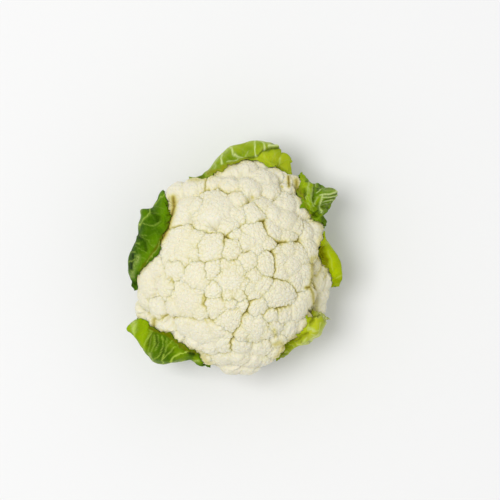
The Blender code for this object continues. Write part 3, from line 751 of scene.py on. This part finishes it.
def smooth_between(points, count, crowding=1.0):
    """Rows read off a smooth curve through each given row, closer together near the last one."""
    points = np.asarray(points, float)
    padded = np.concatenate([[2 * points[0] - points[1]], points, [2 * points[-1] - points[-2]]])
    places = (len(points) - 1) * (1 - np.linspace(1, 0, count) ** crowding)
    start = np.minimum(places.astype(int), len(points) - 2)
    t = (places - start).reshape(-1, *([1] * (points.ndim - 1)))
    a, b, c, d = (padded[start + step] for step in range(4))
    square = 2 * a - 5 * b + 4 * c - d
    cube = 3 * b - a - 3 * c + d
    return 0.5 * (2 * b + (c - a) * t + square * t ** 2 + cube * t ** 3)


def unwrapped(outline):
    angles = np.unwrap(np.radians([row[0] for row in outline]))
    return [(angle, *row[1:]) for angle, row in zip(angles, outline)]


def edge_heights(rows, curd_faces):
    """Height of a leaf's upper edge over the curd at each angle, evened out between neighbours."""
    heights = []
    for angle, _, edge in rows:
        above = Vector((edge * math.cos(angle), edge * math.sin(angle), 2 * (WAIST_HEIGHT + CURD_RISE)))
        place = curd_faces.ray_cast(above, Vector((0, 0, -1)))[0]
        heights.append(LEAF_EDGE_LOWEST if place is None else max(place.z + LEAF_OVER, LEAF_EDGE_LOWEST))
    for _ in range(EDGE_EVENINGS):
        ends = np.pad(heights, 1, mode="edge")
        heights = (ends[:-2] + 2 * ends[1:-1] + ends[2:]) / 4
    return heights


def leaf_profile(fold, edge, top):
    """Radius and height of a leaf from its foot to its upper edge, at one angle round the head."""
    fold -= LEAF_OUTSIDE
    inward, ankle_height = LEAF_ANKLE
    return np.array([
        (LEAF_FOOT_RADIUS, LEAF_FOOT_HEIGHT), LEAF_SOLE, LEAF_HEEL, (fold - inward, ankle_height),
        (fold, WAIST_HEIGHT),
        (edge + SHOULDER_OUT * (fold - edge), WAIST_HEIGHT + SHOULDER_UP * (top - WAIST_HEIGHT)),
        (edge, top),
    ])


def leaf_cage(rib, outline, curd_faces):
    outline = unwrapped(outline)
    rib += 2 * math.pi * round((outline[len(outline) // 2][0] - rib) / (2 * math.pi))
    narrowing = smooth_between(np.array(LEAF_NARROWING)[:, None], CAGE_ROWS)[:, 0]
    rows = smooth_between(outline, CAGE_COLUMNS)
    corners = np.abs(np.linspace(-1, 1, CAGE_COLUMNS))
    tops = edge_heights(rows, curd_faces) - LEAF_CORNER_DROP * corners ** 4
    grid = []
    for (angle, fold, edge), top in zip(rows, tops):
        out, height = smooth_between(leaf_profile(fold, edge, top), CAGE_ROWS).T
        turns = rib + (angle - rib) * narrowing
        grid.append(np.stack([out * np.cos(turns), out * np.sin(turns), height], 1))
    return np.array(grid).transpose(1, 0, 2)


def clear_of_balls(points, balls):
    """The points moved out from the middle of the head until they clear its florets."""
    away = points - (0, 0, WAIST_HEIGHT)
    distance = np.linalg.norm(away, axis=1)
    directions = away / distance[:, None]
    need = floret_fields(directions, balls)[0] + LEAF_CLEARANCE
    distance = np.where(points[:, 2] < CURD_FLOOR, distance, np.maximum(distance, need))
    return directions * distance[:, None] + (0, 0, WAIST_HEIGHT)


def clear_of(faces, points, clearance):
    """The points moved away from the nearest face until they clear it."""
    moved = np.array(points)
    for index, point in enumerate(moved):
        for _ in range(LEAF_PUSHES):
            near, normal, _, gap = faces.find_nearest(Vector(point))
            outside = (Vector(point) - near).dot(normal) > 0
            if outside and gap >= clearance:
                break
            way = (Vector(point) - near).normalized() if outside and gap > 0.01 else normal
            point = near + clearance * 1.02 * way
        moved[index] = point
    return moved


def node_faces(name):
    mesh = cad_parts[name].data
    return BVHTree.FromPolygons([v.co / MM for v in mesh.vertices], [p.vertices for p in mesh.polygons])


# Fine relief of the leaves: lengths in millimetres, and heights as a share of the way up
LEAF_FINE_ROWS = 115
LEAF_FINE_COLUMNS = 150
ROW_CROWDING = 1.3
BLADE_THICKNESS = 0.9
RIB_THICKNESS = 5.8
TUCK_FROM = 0.8
TUCK_GAP = 0.5
SEEN_FROM = 0.6
SEEN_FADE = 0.08
VEIN_SPACING = 13.0
VEIN_START = 22.0
VEIN_SHIFT = 5.0
VEIN_SLOPE = 0.75
VEIN_BEND = 0.006
VEIN_WIDTH = 0.65
NET_SPACING = 6.5
NET_WIDTH = 0.4
ACROSS_VEIN = 0.8
QUILT_HEIGHT = 0.8
QUILT_REACH = 3.5
FRILL_REACH = 4.0
TEETH_REACH = 3.0
TEETH_END = 12.0
MARK_HEIGHTS = {"young_and_lit": 0.35, "hollow_shade": -0.9, "pale": 0.3}
DEEPEST_DENT = -0.6
VEIN_HEIGHT = 0.5
NET_HEIGHT = 0.2
RIB_HEIGHT = 0.6
MARKED_VEIN_HEIGHT = 0.35
EDGE_THINNING = (0.5, 1.2)

# Size and length in millimetres, and first seed, of the random forms of the leaves
VEIN_SWAY = (2.0, 16, 31)
MARK_SWAY = (0.3, 5, 110)
TEETH = (0.8, 3.5, 90)
FINE_TEETH = (0.4, 1.4, 130)

# For each leaf: deep and bright colours, a yellow colour partly for painted light on lit lobes, the vein
# colour, a pale colour partly for painted highlight on folds, and the colour of the painted shade in the gaps
# by the curd; height and length in millimetres of its frill, and height of its crumples
LEAF_LOOKS = {
    "leaf_top": (
        (0.17, 0.27, 0.006), (0.29, 0.40, 0.012), (0.40, 0.48, 0.015), (0.64, 0.73, 0.30),
        (0.60, 0.68, 0.29), (0.25, 0.27, 0.010), 0.8, 4.5, 0.4,
    ),
    "leaf_upper_right": (
        (0.10, 0.20, 0.002), (0.21, 0.33, 0.004), (0.33, 0.46, 0.004), (0.60, 0.70, 0.27),
        (0.58, 0.66, 0.27), (0.27, 0.28, 0.008), 1.6, 3.5, 1.2,
    ),
    "leaf_right": (
        (0.31, 0.40, 0.001), (0.39, 0.49, 0.002), (0.42, 0.52, 0.002), (0.56, 0.65, 0.10),
        (0.56, 0.63, 0.14), (0.21, 0.21, 0.001), 0.5, 4.5, 0.4,
    ),
    "leaf_lower_right": (
        (0.20, 0.27, 0.002), (0.38, 0.46, 0.008), (0.58, 0.65, 0.02), (0.68, 0.74, 0.22),
        (0.70, 0.74, 0.34), (0.20, 0.22, 0.002), 1.3, 2.6, 0.7,
    ),
    "leaf_lower_left": (
        (0.050, 0.120, 0.001), (0.10, 0.20, 0.001), (0.26, 0.39, 0.002), (0.42, 0.56, 0.07),
        (0.50, 0.59, 0.18), (0.14, 0.15, 0.001), 0.8, 4.5, 0.4,
    ),
    "leaf_left": (
        (0.030, 0.088, 0.001), (0.066, 0.155, 0.001), (0.105, 0.225, 0.001), (0.36, 0.50, 0.07),
        (0.34, 0.44, 0.10), (0.13, 0.13, 0.001), 0.8, 4.5, 0.4,
    ),
}

# Marks seen on the leaves from above, written as the curd's painted shade lines are: veins, pale folds with a
# painted highlight, yellow parts that are partly painted light on lit lobes, painted shade in hollows, and
# painted shade in the gaps along the edges next to the curd
MARKS = {
    "leaf_left": {
        "vein": [
            (0.4, 0.9, 167, 195, 160, 202, 152, 211, 146, 219, 143, 226),
            (0.4, 0.5, 145, 224, 152, 224.5, 158, 220), (0.4, 0.4, 142, 236, 148, 236),
            (0.4, 0.6, 136, 244, 141, 244), (0.4, 0.6, 130, 252.5, 137, 252),
            (0.4, 0.6, 131, 262, 136, 259), (0.32, 0.3, 150, 241, 156, 246),
            (0.32, 0.3, 151, 214, 160, 216), (0.32, 0.25, 156, 207, 166, 210),
            (0.32, 0.25, 141, 236, 151, 242), (0.32, 0.3, 138, 247, 148, 252),
            (0.32, 0.3, 136, 256, 146, 258), (0.48, 0.5, 148, 262, 157, 250, 160, 242),
        ],
        "pale": [
            (1.2, 0.8, 142, 211, 142, 220, 141, 229), (1.5, 0.7, 139, 256, 136, 264, 133, 276),
            (1, 0.5, 129.5, 252, 129.5, 262, 130, 274),
        ],
        "young_and_lit": [
            (4.5, 1, 165, 196, 166, 212, 162, 224), (4, 0.9, 156, 238, 148, 254, 140, 266),
            (2, 0.7, 146, 212, 146, 217),
        ],
        "hollow_shade": [
            (1.6, 1, 134.5, 252, 134, 258, 132.5, 268), (1.8, 0.8, 138, 233, 143, 239),
            (1.2, 0.6, 146, 243, 146, 249), (1.2, 0.6, 137, 239, 137, 246), (1.5, 0.5, 153, 215, 156, 219),
            (1, 0.8, 132, 281, 135, 284),
        ],
        "gap_shade": [(1.2, 0.7, 171, 203, 170, 222, 161, 240, 151, 257, 141, 268)],
    },
    "leaf_lower_left": {
        "vein": [
            (0.56, 0.9, 134.5, 329, 136, 335, 139, 342), (0.4, 0.7, 149, 333, 148.5, 341, 145, 350),
            (0.32, 0.4, 151, 337, 151, 352), (0.32, 0.5, 154, 338, 153.5, 350),
            (0.32, 0.5, 157, 337, 156, 350), (0.36, 0.6, 161, 338, 161, 348, 159.5, 354, 156, 357),
            (0.32, 0.4, 164.5, 339, 163.5, 352), (0.36, 0.6, 171, 340, 166, 345, 164, 352),
            (0.48, 0.9, 163, 354, 163.5, 361), (0.4, 0.7, 174, 347, 168, 353, 163, 357),
            (0.48, 1, 187, 349, 180, 353, 175, 356, 170, 360.5), (0.4, 0.7, 186, 356, 181, 360),
            (0.32, 0.4, 176, 344, 180, 349),
        ],
        "pale": [
            (1.1, 0.9, 134.5, 321, 133.5, 326, 134.5, 331), (0.9, 0.8, 152.5, 352, 153.5, 360),
            (1.4, 0.7, 145, 353, 150, 358.5, 159, 363, 170, 363, 177, 361),
            (0.9, 0.6, 181, 359.5, 192, 358.5, 199, 359),
        ],
        "young_and_lit": [
            (5.5, 1, 130, 329, 139, 324, 142, 333, 143, 344), (1.5, 0.6, 196, 356, 201, 361),
            (3.5, 0.4, 168, 345, 182, 355),
        ],
        "hollow_shade": [
            (1.2, 0.7, 150.5, 335, 150.5, 345), (1, 0.6, 155.5, 337, 155.5, 347),
            (1.2, 0.6, 161, 349, 161, 353), (1.5, 1, 191, 351.5, 194, 353),
            (1, 0.5, 136.5, 338, 131, 333), (1.2, 0.4, 165, 353, 172, 351),
        ],
        "gap_shade": [(1.5, 1, 149, 331, 158, 333, 165, 334, 173, 339, 181, 346, 190, 350, 198, 352)],
    },
    "leaf_top": {
        "vein": [
            (0.56, 1, 223.5, 156, 222.3, 161, 222.5, 166), (0.56, 1, 232, 149, 234, 154, 238, 155.5),
            (0.48, 0.8, 238, 155.5, 242, 156.5), (0.48, 0.6, 238, 157, 233, 161, 228, 163),
            (0.48, 1, 255, 145, 253.3, 150, 254.5, 154), (0.48, 0.9, 257, 143.5, 262, 145, 264.8, 149),
            (0.56, 1, 268, 147.5, 274, 147.3, 279, 146.5), (0.4, 0.4, 279, 159, 283, 165),
            (0.4, 0.4, 244, 155, 248, 150), (0.4, 0.35, 215, 170, 219, 160),
        ],
        "pale": [
            (1.7, 0.75, 208, 173, 214, 165, 220, 156, 231, 148, 243, 143.5, 256, 142.5),
            (1.2, 0.9, 256, 142.5, 268, 144.5, 276, 145.5),
        ],
        "young_and_lit": [
            (5.5, 1, 263, 155, 272, 155, 281, 160, 286, 162), (2, 1, 256, 157, 270, 161, 278, 166),
            (2.5, 0.5, 233, 150, 240, 147, 250, 144),
        ],
        "hollow_shade": [
            (0.8, 0.9, 259, 152, 264, 149.5, 279, 149), (1, 0.8, 247, 156, 257, 153),
            (1.5, 0.7, 193, 177, 203, 177), (0.6, 0.9, 271, 146, 276, 144.5),
        ],
        "gap_shade": [(1.3, 1, 209, 174, 221, 171, 230, 165.5, 240, 159.5, 250, 157)],
    },
    "leaf_upper_right": {
        "vein": [
            (0.5, 1, 324, 196, 323.5, 201.5, 322, 209, 320.5, 212),
            (0.35, 0.7, 318.5, 186.5, 325, 187, 332, 188),
            (0.38, 0.9, 318, 193, 322, 190, 328, 189.3, 335, 190.5),
            (0.42, 1, 322, 195.5, 328, 194.8, 336.5, 192.7),
            (0.36, 0.9, 325, 197.5, 331, 196.5, 336.5, 195), (0.36, 0.8, 326, 200.5, 335.5, 197.8),
            (0.3, 0.5, 325, 204, 333, 200.5), (0.35, 0.6, 308, 181, 307.5, 187, 309, 194, 308, 199),
            (0.35, 0.5, 312, 190, 314, 198, 317, 204), (0.35, 0.4, 318, 207, 323, 205),
            (0.35, 0.5, 320, 197, 318, 202), (0.35, 0.5, 309, 182, 315, 188),
            (0.3, 0.4, 310, 196, 313, 200), (0.3, 0.4, 311, 202, 315, 207), (0.3, 0.4, 312, 208, 316, 211),
            (0.3, 0.4, 309, 190, 312, 194),
        ],
        "pale": [(1.5, 0.6, 325, 191, 331, 190.5, 336, 192), (1, 0.5, 314, 184, 325, 187)],
        "young_and_lit": [
            (2.6, 1, 301, 179, 304, 184, 306, 189), (2.4, 0.7, 309, 186, 311, 198, 313, 207),
            (1.5, 0.6, 317, 210, 319, 215), (1.5, 0.5, 319, 204, 321, 198),
        ],
        "hollow_shade": [
            (1, 0.9, 313, 190, 315.5, 196, 317, 200), (0.8, 0.9, 317, 190, 320, 190.5),
            (0.7, 0.9, 325, 205, 325.5, 208), (0.5, 0.6, 325, 191.4, 334, 191.9),
            (0.7, 0.8, 305, 182, 307, 182), (0.8, 0.7, 311, 184, 314, 188),
            (0.5, 0.7, 325, 196.3, 335, 194), (0.5, 0.7, 327, 199, 335, 196.6),
            (0.8, 0.7, 326.5, 203.4, 332, 203), (0.7, 0.7, 317, 186, 320, 188),
            (1, 0.8, 306, 192, 306, 198), (1, 0.9, 313, 212, 314, 216), (1.2, 0.8, 320, 218, 323, 225),
            (0.7, 0.6, 318, 203, 320, 203.5),
        ],
        "gap_shade": [(2, 1, 298, 190, 302, 194, 305, 197), (0.8, 0.7, 306, 202, 310, 211, 312, 218)],
    },
    "leaf_right": {
        "vein": [(0.4, 0.5, 341, 273, 337, 278), (0.4, 0.4, 327, 250, 331, 262, 334, 270)],
        "pale": [(0.7, 0.6, 326, 243, 334, 252, 340, 261, 342, 270)],
        "young_and_lit": [(2.5, 1, 327, 251, 332, 262, 336, 272), (1.5, 0.6, 322, 237, 324, 243)],
        "hollow_shade": [(1.2, 0.35, 338, 280, 340, 282)],
        "gap_shade": [(2.2, 1, 317, 241, 318.5, 250, 317, 256), (1.8, 1, 321, 248, 325, 257, 328, 267)],
    },
    "leaf_lower_right": {
        "vein": [
            (0.48, 0.6, 319, 322, 317, 329, 311, 329), (0.48, 0.7, 305, 336, 301, 341, 296, 342),
            (0.4, 0.6, 310, 333, 316, 334, 320, 331), (0.4, 0.5, 288, 343, 294, 346),
            (0.4, 0.5, 314, 317, 319, 317), (0.4, 0.5, 284, 350, 289, 352),
        ],
        "pale": [
            (1.7, 1, 318, 313, 322, 315, 324, 321, 322, 328, 318, 334, 310, 338, 302, 343),
            (1.2, 0.7, 307, 327, 312, 329), (0.9, 0.6, 302, 343, 293, 349, 287, 355),
        ],
        "young_and_lit": [(4, 1, 315, 319, 314, 325, 308, 333), (3, 0.6, 305, 336, 296, 342)],
        "hollow_shade": [
            (0.8, 0.5, 301, 339, 302, 340), (0.8, 0.5, 307, 339, 308, 342), (1.6, 0.8, 279, 355, 283, 353),
            (0.7, 0.7, 314, 315, 318, 316), (0.7, 0.6, 320.5, 317, 321.5, 321),
        ],
        "gap_shade": [
            (1.2, 0.9, 312, 314, 312, 319, 309, 323), (1, 0.9, 306, 332, 299, 336, 292, 340),
            (1, 0.8, 292, 340, 284, 347, 279, 354),
        ],
    },
}


def leaf_material(name, colours):
    """The leaf's colours with fine net veins, painted shade in hollows and gaps and painted highlights on
    folds and lit parts; the attributes say where each one is.
    """
    deep, bright, young_and_lit_colour, vein_colour, pale_and_highlight_colour, gap_shade_colour = colours
    material, tree, shader = new_material(
        name, roughness=0.5, specular=0.015, sunk_share=0.2, sunk_reach=(0.5, 1.0, 0.1), sunk_depth=0.0012,
    )
    place = node(tree, "ShaderNodeTexCoord").outputs["Object"]
    blotch = noise(tree, place, scale=90.0, detail=4.0, roughness=0.6)
    blotch = ramp(tree, blotch, [(0.35, (0, 0, 0)), (0.68, (1, 1, 1))])
    speckle = noise(tree, place, scale=800.0, detail=2.0)
    speckle = ramp(tree, speckle, [(0.35, (0.35, 0.35, 0.35)), (0.6, (1, 1, 1))])
    net = node(tree, "ShaderNodeTexVoronoi", Scale=520.0, feature="DISTANCE_TO_EDGE")
    tree.links.new(place, net.inputs["Vector"])
    net_line = ramp(tree, net.outputs["Distance"], [(0.0, (0.14, 0.14, 0.14)), (0.1, (0, 0, 0))])
    colour = deep
    # Painted light in the leaf: highlight on pale folds, light on lit yellow lobes, and shade in hollows and
    # in the gaps by the curd
    for share, upper in (
        (blotch, bright),
        (painted(tree, "edge"), bright),
        (painted(tree, "young_and_lit"), young_and_lit_colour),
        (mixed(tree, "MULTIPLY", 1.0, painted(tree, "pale"), speckle), pale_and_highlight_colour),
        (painted(tree, "gap_shade"), gap_shade_colour),
        (painted(tree, "hollow_shade"), tuple(0.3 * c for c in deep)),
        (net_line, tuple(1.5 * c for c in bright)),
        (painted(tree, "vein"), vein_colour),
    ):
        colour = mixed(tree, "MIX", share, colour, upper)
    tree.links.new(colour, shader.inputs["Base Color"])
    add_bump(tree, shader, net.outputs["Distance"], strength=0.7, distance=0.0004)
    return material


def leaf_frame(rib, outline, curd_faces):
    """The leaf's inner face in fine rows, with the angle of each column."""
    cage = leaf_cage(math.radians(rib), outline, curd_faces)
    cage = clear_of_balls(cage.reshape(-1, 3), curd_balls())
    cage = clear_of(curd_faces, cage, LEAF_CLEARANCE).reshape(CAGE_ROWS, CAGE_COLUMNS, 3)
    fine = smooth_between(cage, LEAF_FINE_ROWS, ROW_CROWDING)
    fine = smooth_between(fine.transpose(1, 0, 2), LEAF_FINE_COLUMNS).transpose(1, 0, 2)
    angles = [row[0] for row in unwrapped(outline)]
    places = np.linspace(0, len(outline) - 1, LEAF_FINE_COLUMNS)
    return fine, np.interp(places, np.arange(len(outline)), angles)


def lengths_along(points, axis):
    """Length from the first row or column to each point, along the surface."""
    step = np.linalg.norm(np.diff(points, axis=axis), axis=2)
    start = np.zeros_like(np.take(step, [0], axis))
    return np.concatenate([start, np.cumsum(step, axis)], axis)


def vein_lines(aside, along, up, bend):
    """How much of a point is rib, side vein and fine vein."""
    rib_line = np.exp(-(aside / (1.0 + 6 * (1 - up) ** 2)) ** 2)
    reach = np.abs(aside)
    start = VEIN_START + VEIN_SHIFT * np.sign(aside) + VEIN_SLOPE * reach + VEIN_BEND * reach ** 2
    phase = (along - start - bend) / VEIN_SPACING
    side = np.abs(phase - np.round(phase)) * VEIN_SPACING * ACROSS_VEIN
    side_line = np.exp(-(side / VEIN_WIDTH) ** 2)
    between = np.abs(phase - np.floor(phase) - 0.5) * VEIN_SPACING * ACROSS_VEIN
    crossing = (reach + 0.5 * along + 1.5 * bend) / NET_SPACING
    crossing = np.abs(crossing - np.round(crossing)) * NET_SPACING
    fine_line = 0.45 * np.exp(-(between / NET_WIDTH) ** 2) + 0.35 * np.exp(-(crossing / NET_WIDTH) ** 2)
    return rib_line, side_line, fine_line, side


def tucked(points, up, curd_skin):
    """The points with those near the upper edge drawn in until they all but touch the florets."""
    moved = np.array(points)
    for row, column in zip(*np.nonzero(up > TUCK_FROM)):
        place = Vector(points[row, column])
        near, normal, _, gap = curd_skin.find_nearest(place)
        share = (up[row, column] - TUCK_FROM) / (1 - TUCK_FROM)
        share = share * share * (3 - 2 * share)
        if gap > TUCK_GAP and (place - near).dot(normal) > 0:
            moved[row, column] = place.lerp(near + (place - near) * (TUCK_GAP / gap), share)
    return moved


def leaf_wobble(points, form, number, parts):
    """Smooth random values over a grid of points, one for each part asked for."""
    size, length, seed = form
    values = size * wobble(points.reshape(-1, 3), length, seed + number)
    return values[:, parts].reshape(*points.shape[:2], *values[0, parts].shape)


def closed_sheet(inner, outer):
    """Points and four-sided faces of two grids joined round their edges."""
    rows, columns = inner.shape[:2]
    count = rows * columns
    index = np.arange(count).reshape(rows, columns)
    quads = np.stack([index[:-1, :-1], index[:-1, 1:], index[1:, 1:], index[1:, :-1]], -1).reshape(-1, 4)
    border = np.concatenate([index[0, :], index[1:, -1], index[-1, -2::-1], index[-2:0:-1, 0]])
    after = np.roll(border, -1)
    rim = np.stack([border, after, after + count, border + count], 1)
    faces = np.concatenate([quads, quads[:, ::-1] + count, rim[:, ::-1]])
    return np.concatenate([inner.reshape(-1, 3), outer.reshape(-1, 3)]), faces


def build_leaf(name, curd_faces, curd_skin, number):
    """A closed blade with a waved, frilled and toothed edge, veins, and the marks seen in the photo."""
    slot, rib, waves, depth, outline = LEAVES[name]
    *colours, frill, frill_length, crumple = LEAF_LOOKS[name]
    fine, turns = leaf_frame(rib, outline, curd_faces)
    up = 1 - np.linspace(1, 0, LEAF_FINE_ROWS)[:, None] ** ROW_CROWDING * np.ones(LEAF_FINE_COLUMNS)
    from_rib = np.angle(np.exp(1j * (turns - math.radians(rib))))
    rib_column = np.argmin(np.abs(from_rib), keepdims=True)
    across = lengths_along(fine, 1)
    aside = across - across[:, rib_column]
    along = lengths_along(fine, 0)[:, rib_column] * np.ones(LEAF_FINE_COLUMNS)
    bend = leaf_wobble(fine, VEIN_SWAY, number, 0)
    rib_line, side_line, fine_line, side = vein_lines(aside, along, up, bend)
    seen = np.clip((up - SEEN_FROM) / SEEN_FADE, 0, 1)
    unseen = 1 - seen
    places = fine[..., :2] + leaf_wobble(fine, MARK_SWAY, number, [0, 1])
    # The marks hold painted shade in hollows and gaps, and painted highlight on pale folds and lit lobes
    marks = {kind: marked(lines, places) * seen for kind, lines in MARKS[name].items()}
    vein = (0.8 * side_line * (1 - 0.5 * np.abs(aside) / 45) + rib_line * (1 - 0.45 * up)) * unseen
    vein = np.maximum(vein, marks["vein"])
    to_top = along.max() - along
    to_edge = np.minimum(np.minimum(across, across[:, -1:] - across), to_top)
    upper = np.clip(up * 2 - 0.4, 0, 1)

    rising = unit(np.gradient(fine, axis=0))
    outward = unit(np.cross(np.gradient(fine, axis=0), np.gradient(fine, axis=1)))
    away = unit(fine - (0, 0, WAIST_HEIGHT))
    swing = 2 * math.pi * waves * np.linspace(0, 1, LEAF_FINE_COLUMNS) + WAVE_LEAN * up
    wave = depth * up ** 3 * (0.5 + 0.5 * np.sin(swing))
    ragged = leaf_wobble(fine, TEETH, number, 0) + frill * leaf_wobble(fine, FINE_TEETH, number, 0)
    ragged *= np.exp(-to_top / TEETH_REACH) * (to_edge < TEETH_END)
    ruffle = 0.3 + leaf_wobble(fine, (0.8, frill_length, 50), number, 1)
    folds = leaf_wobble(fine, (crumple, 8, 70), number, 2)
    fine = fine + away * wave[..., None] + rising * ragged[..., None]
    quilt = (1 - np.exp(-(side / QUILT_REACH) ** 2)) * np.exp(-(rib_line * 3) ** 2) * (1 - 0.7 * seen)
    lift = (QUILT_HEIGHT * quilt + frill * np.exp(-to_edge / FRILL_REACH) * ruffle + folds) * upper
    lift += sum(height * marks[kind] for kind, height in MARK_HEIGHTS.items())
    inner = tucked(fine + outward * np.maximum(lift, DEEPEST_DENT)[..., None], up, curd_skin)
    thick = BLADE_THICKNESS + RIB_THICKNESS * (1 - up) ** 1.5 * np.exp(-(aside / (3 + 5 * (1 - up))) ** 2)
    veins = (VEIN_HEIGHT * side_line + NET_HEIGHT * fine_line) * upper + RIB_HEIGHT * rib_line * up
    thick += veins * unseen + MARKED_VEIN_HEIGHT * marks["vein"]
    thick *= 1 - EDGE_THINNING[0] * np.exp(-to_top / EDGE_THINNING[1])
    outer = inner + outward * thick[..., None]
    obj = mesh_object(name + "_blade", *closed_sheet(inner, outer))
    looks = {
        "vein": np.clip(np.maximum(vein, 0.45 * fine_line * (1 - 0.5 * seen)), 0, 1),
        "edge": 0.5 * np.exp(-np.maximum(to_edge, 0) / 2.0),
        **{kind: marks[kind] for kind in ("young_and_lit", "pale", "hollow_shade", "gap_shade")},
    }
    for label, values in looks.items():
        attribute(obj, label, np.tile(values.ravel(), 2))
    dress(obj, name, leaf_material(name + " skin", colours))


# Stalk

# Colours from the middle of the stalk to its skin, by share of its widest reach
STALK_RINGS = [
    (0.0, (0.66, 0.68, 0.44)), (0.5, (0.62, 0.67, 0.40)), (0.6, (0.42, 0.52, 0.20)),
    (0.67, (0.60, 0.66, 0.37)), (0.8, (0.50, 0.60, 0.26)), (0.95, (0.38, 0.52, 0.15)),
]


def build_stalk():
    """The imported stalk's own form, with a streaked green skin and a ring in its pale cut face."""
    obj = placed("stalk_skin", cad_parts["stalk"].data.copy())
    obj.data.materials.clear()
    material, tree, shader = new_material("stalk green white", roughness=0.5)
    place = node(tree, "ShaderNodeTexCoord").outputs["Object"]
    widest = max(math.hypot(v.co.x, v.co.y) for v in obj.data.vertices)
    flat = node(tree, "ShaderNodeMapping", Scale=(1 / widest, 1 / widest, 0))
    tree.links.new(place, flat.inputs["Vector"])
    share = node(tree, "ShaderNodeVectorMath", operation="LENGTH")
    tree.links.new(flat.outputs["Vector"], share.inputs[0])
    colour = ramp(tree, share.outputs["Value"], STALK_RINGS)
    stretch = node(tree, "ShaderNodeMapping", Scale=(1, 1, 0.15))
    tree.links.new(place, stretch.inputs["Vector"])
    fibre = noise(tree, stretch.outputs["Vector"], scale=420.0, detail=4.0)
    streaks = ramp(tree, fibre, [(0.35, (0.86, 0.90, 0.74)), (0.62, (1, 1, 1))])
    tree.links.new(mixed(tree, "MULTIPLY", 1.0, colour, streaks), shader.inputs["Base Color"])
    add_bump(tree, shader, fibre, strength=0.5, distance=0.0003)
    dress(obj, "stalk", material)


curd_skin = build_curd()
curd_faces = node_faces("curd")
for number, name in enumerate(LEAVES):
    build_leaf(name, curd_faces, curd_skin, number)
build_stalk()


# Floor, light and camera

VIEW_MIDDLE = Vector((0.0105, 0.012, 0.05))
VIEW_WIDTH = 0.375
VIEW_DISTANCE = 2.3
SENSOR_WIDTH = 36
ROOM_LIGHT = 0.665
WINDOW_PLACE = Vector((-1.08, 0.15, 3.5))
WINDOW_SIZE = 1.4
WINDOW_POWER = 67
LIT_MIDDLE = Vector((0, 0, 0.05))


def build_stage():
    bpy.ops.mesh.primitive_plane_add(size=6, location=(0, 0, 0))
    floor = bpy.context.object
    floor.name = "floor"
    material, _, shader = new_material("floor white", roughness=0.9, specular=0.0)
    shader.inputs["Base Color"].default_value = (0.84, 0.84, 0.84, 1)
    floor.data.materials.append(material)


def build_view():
    """A bright room, one window high on the left, and the camera straight above."""
    world = bpy.data.worlds.new("soft room")
    bpy.context.scene.world = world
    world.use_nodes = True
    room = world.node_tree.nodes["Background"]
    room.inputs["Color"].default_value = (1, 1, 1, 1)
    room.inputs["Strength"].default_value = ROOM_LIGHT
    light = bpy.data.lights.new("window", "AREA")
    light.shape = "SQUARE"
    light.size = WINDOW_SIZE
    light.energy = WINDOW_POWER
    window = placed("window", light, WINDOW_PLACE)
    window.rotation_euler = (LIT_MIDDLE - WINDOW_PLACE).to_track_quat("-Z", "Y").to_euler()
    camera = bpy.data.cameras.new("camera")
    camera.sensor_width = SENSOR_WIDTH
    camera.lens = SENSOR_WIDTH * VIEW_DISTANCE / VIEW_WIDTH
    camera.clip_end = 20
    bpy.context.scene.camera = placed("camera", camera, VIEW_MIDDLE + Vector((0, 0, VIEW_DISTANCE)))
    bpy.context.scene.view_settings.view_transform = "Standard"


build_stage()
build_view()
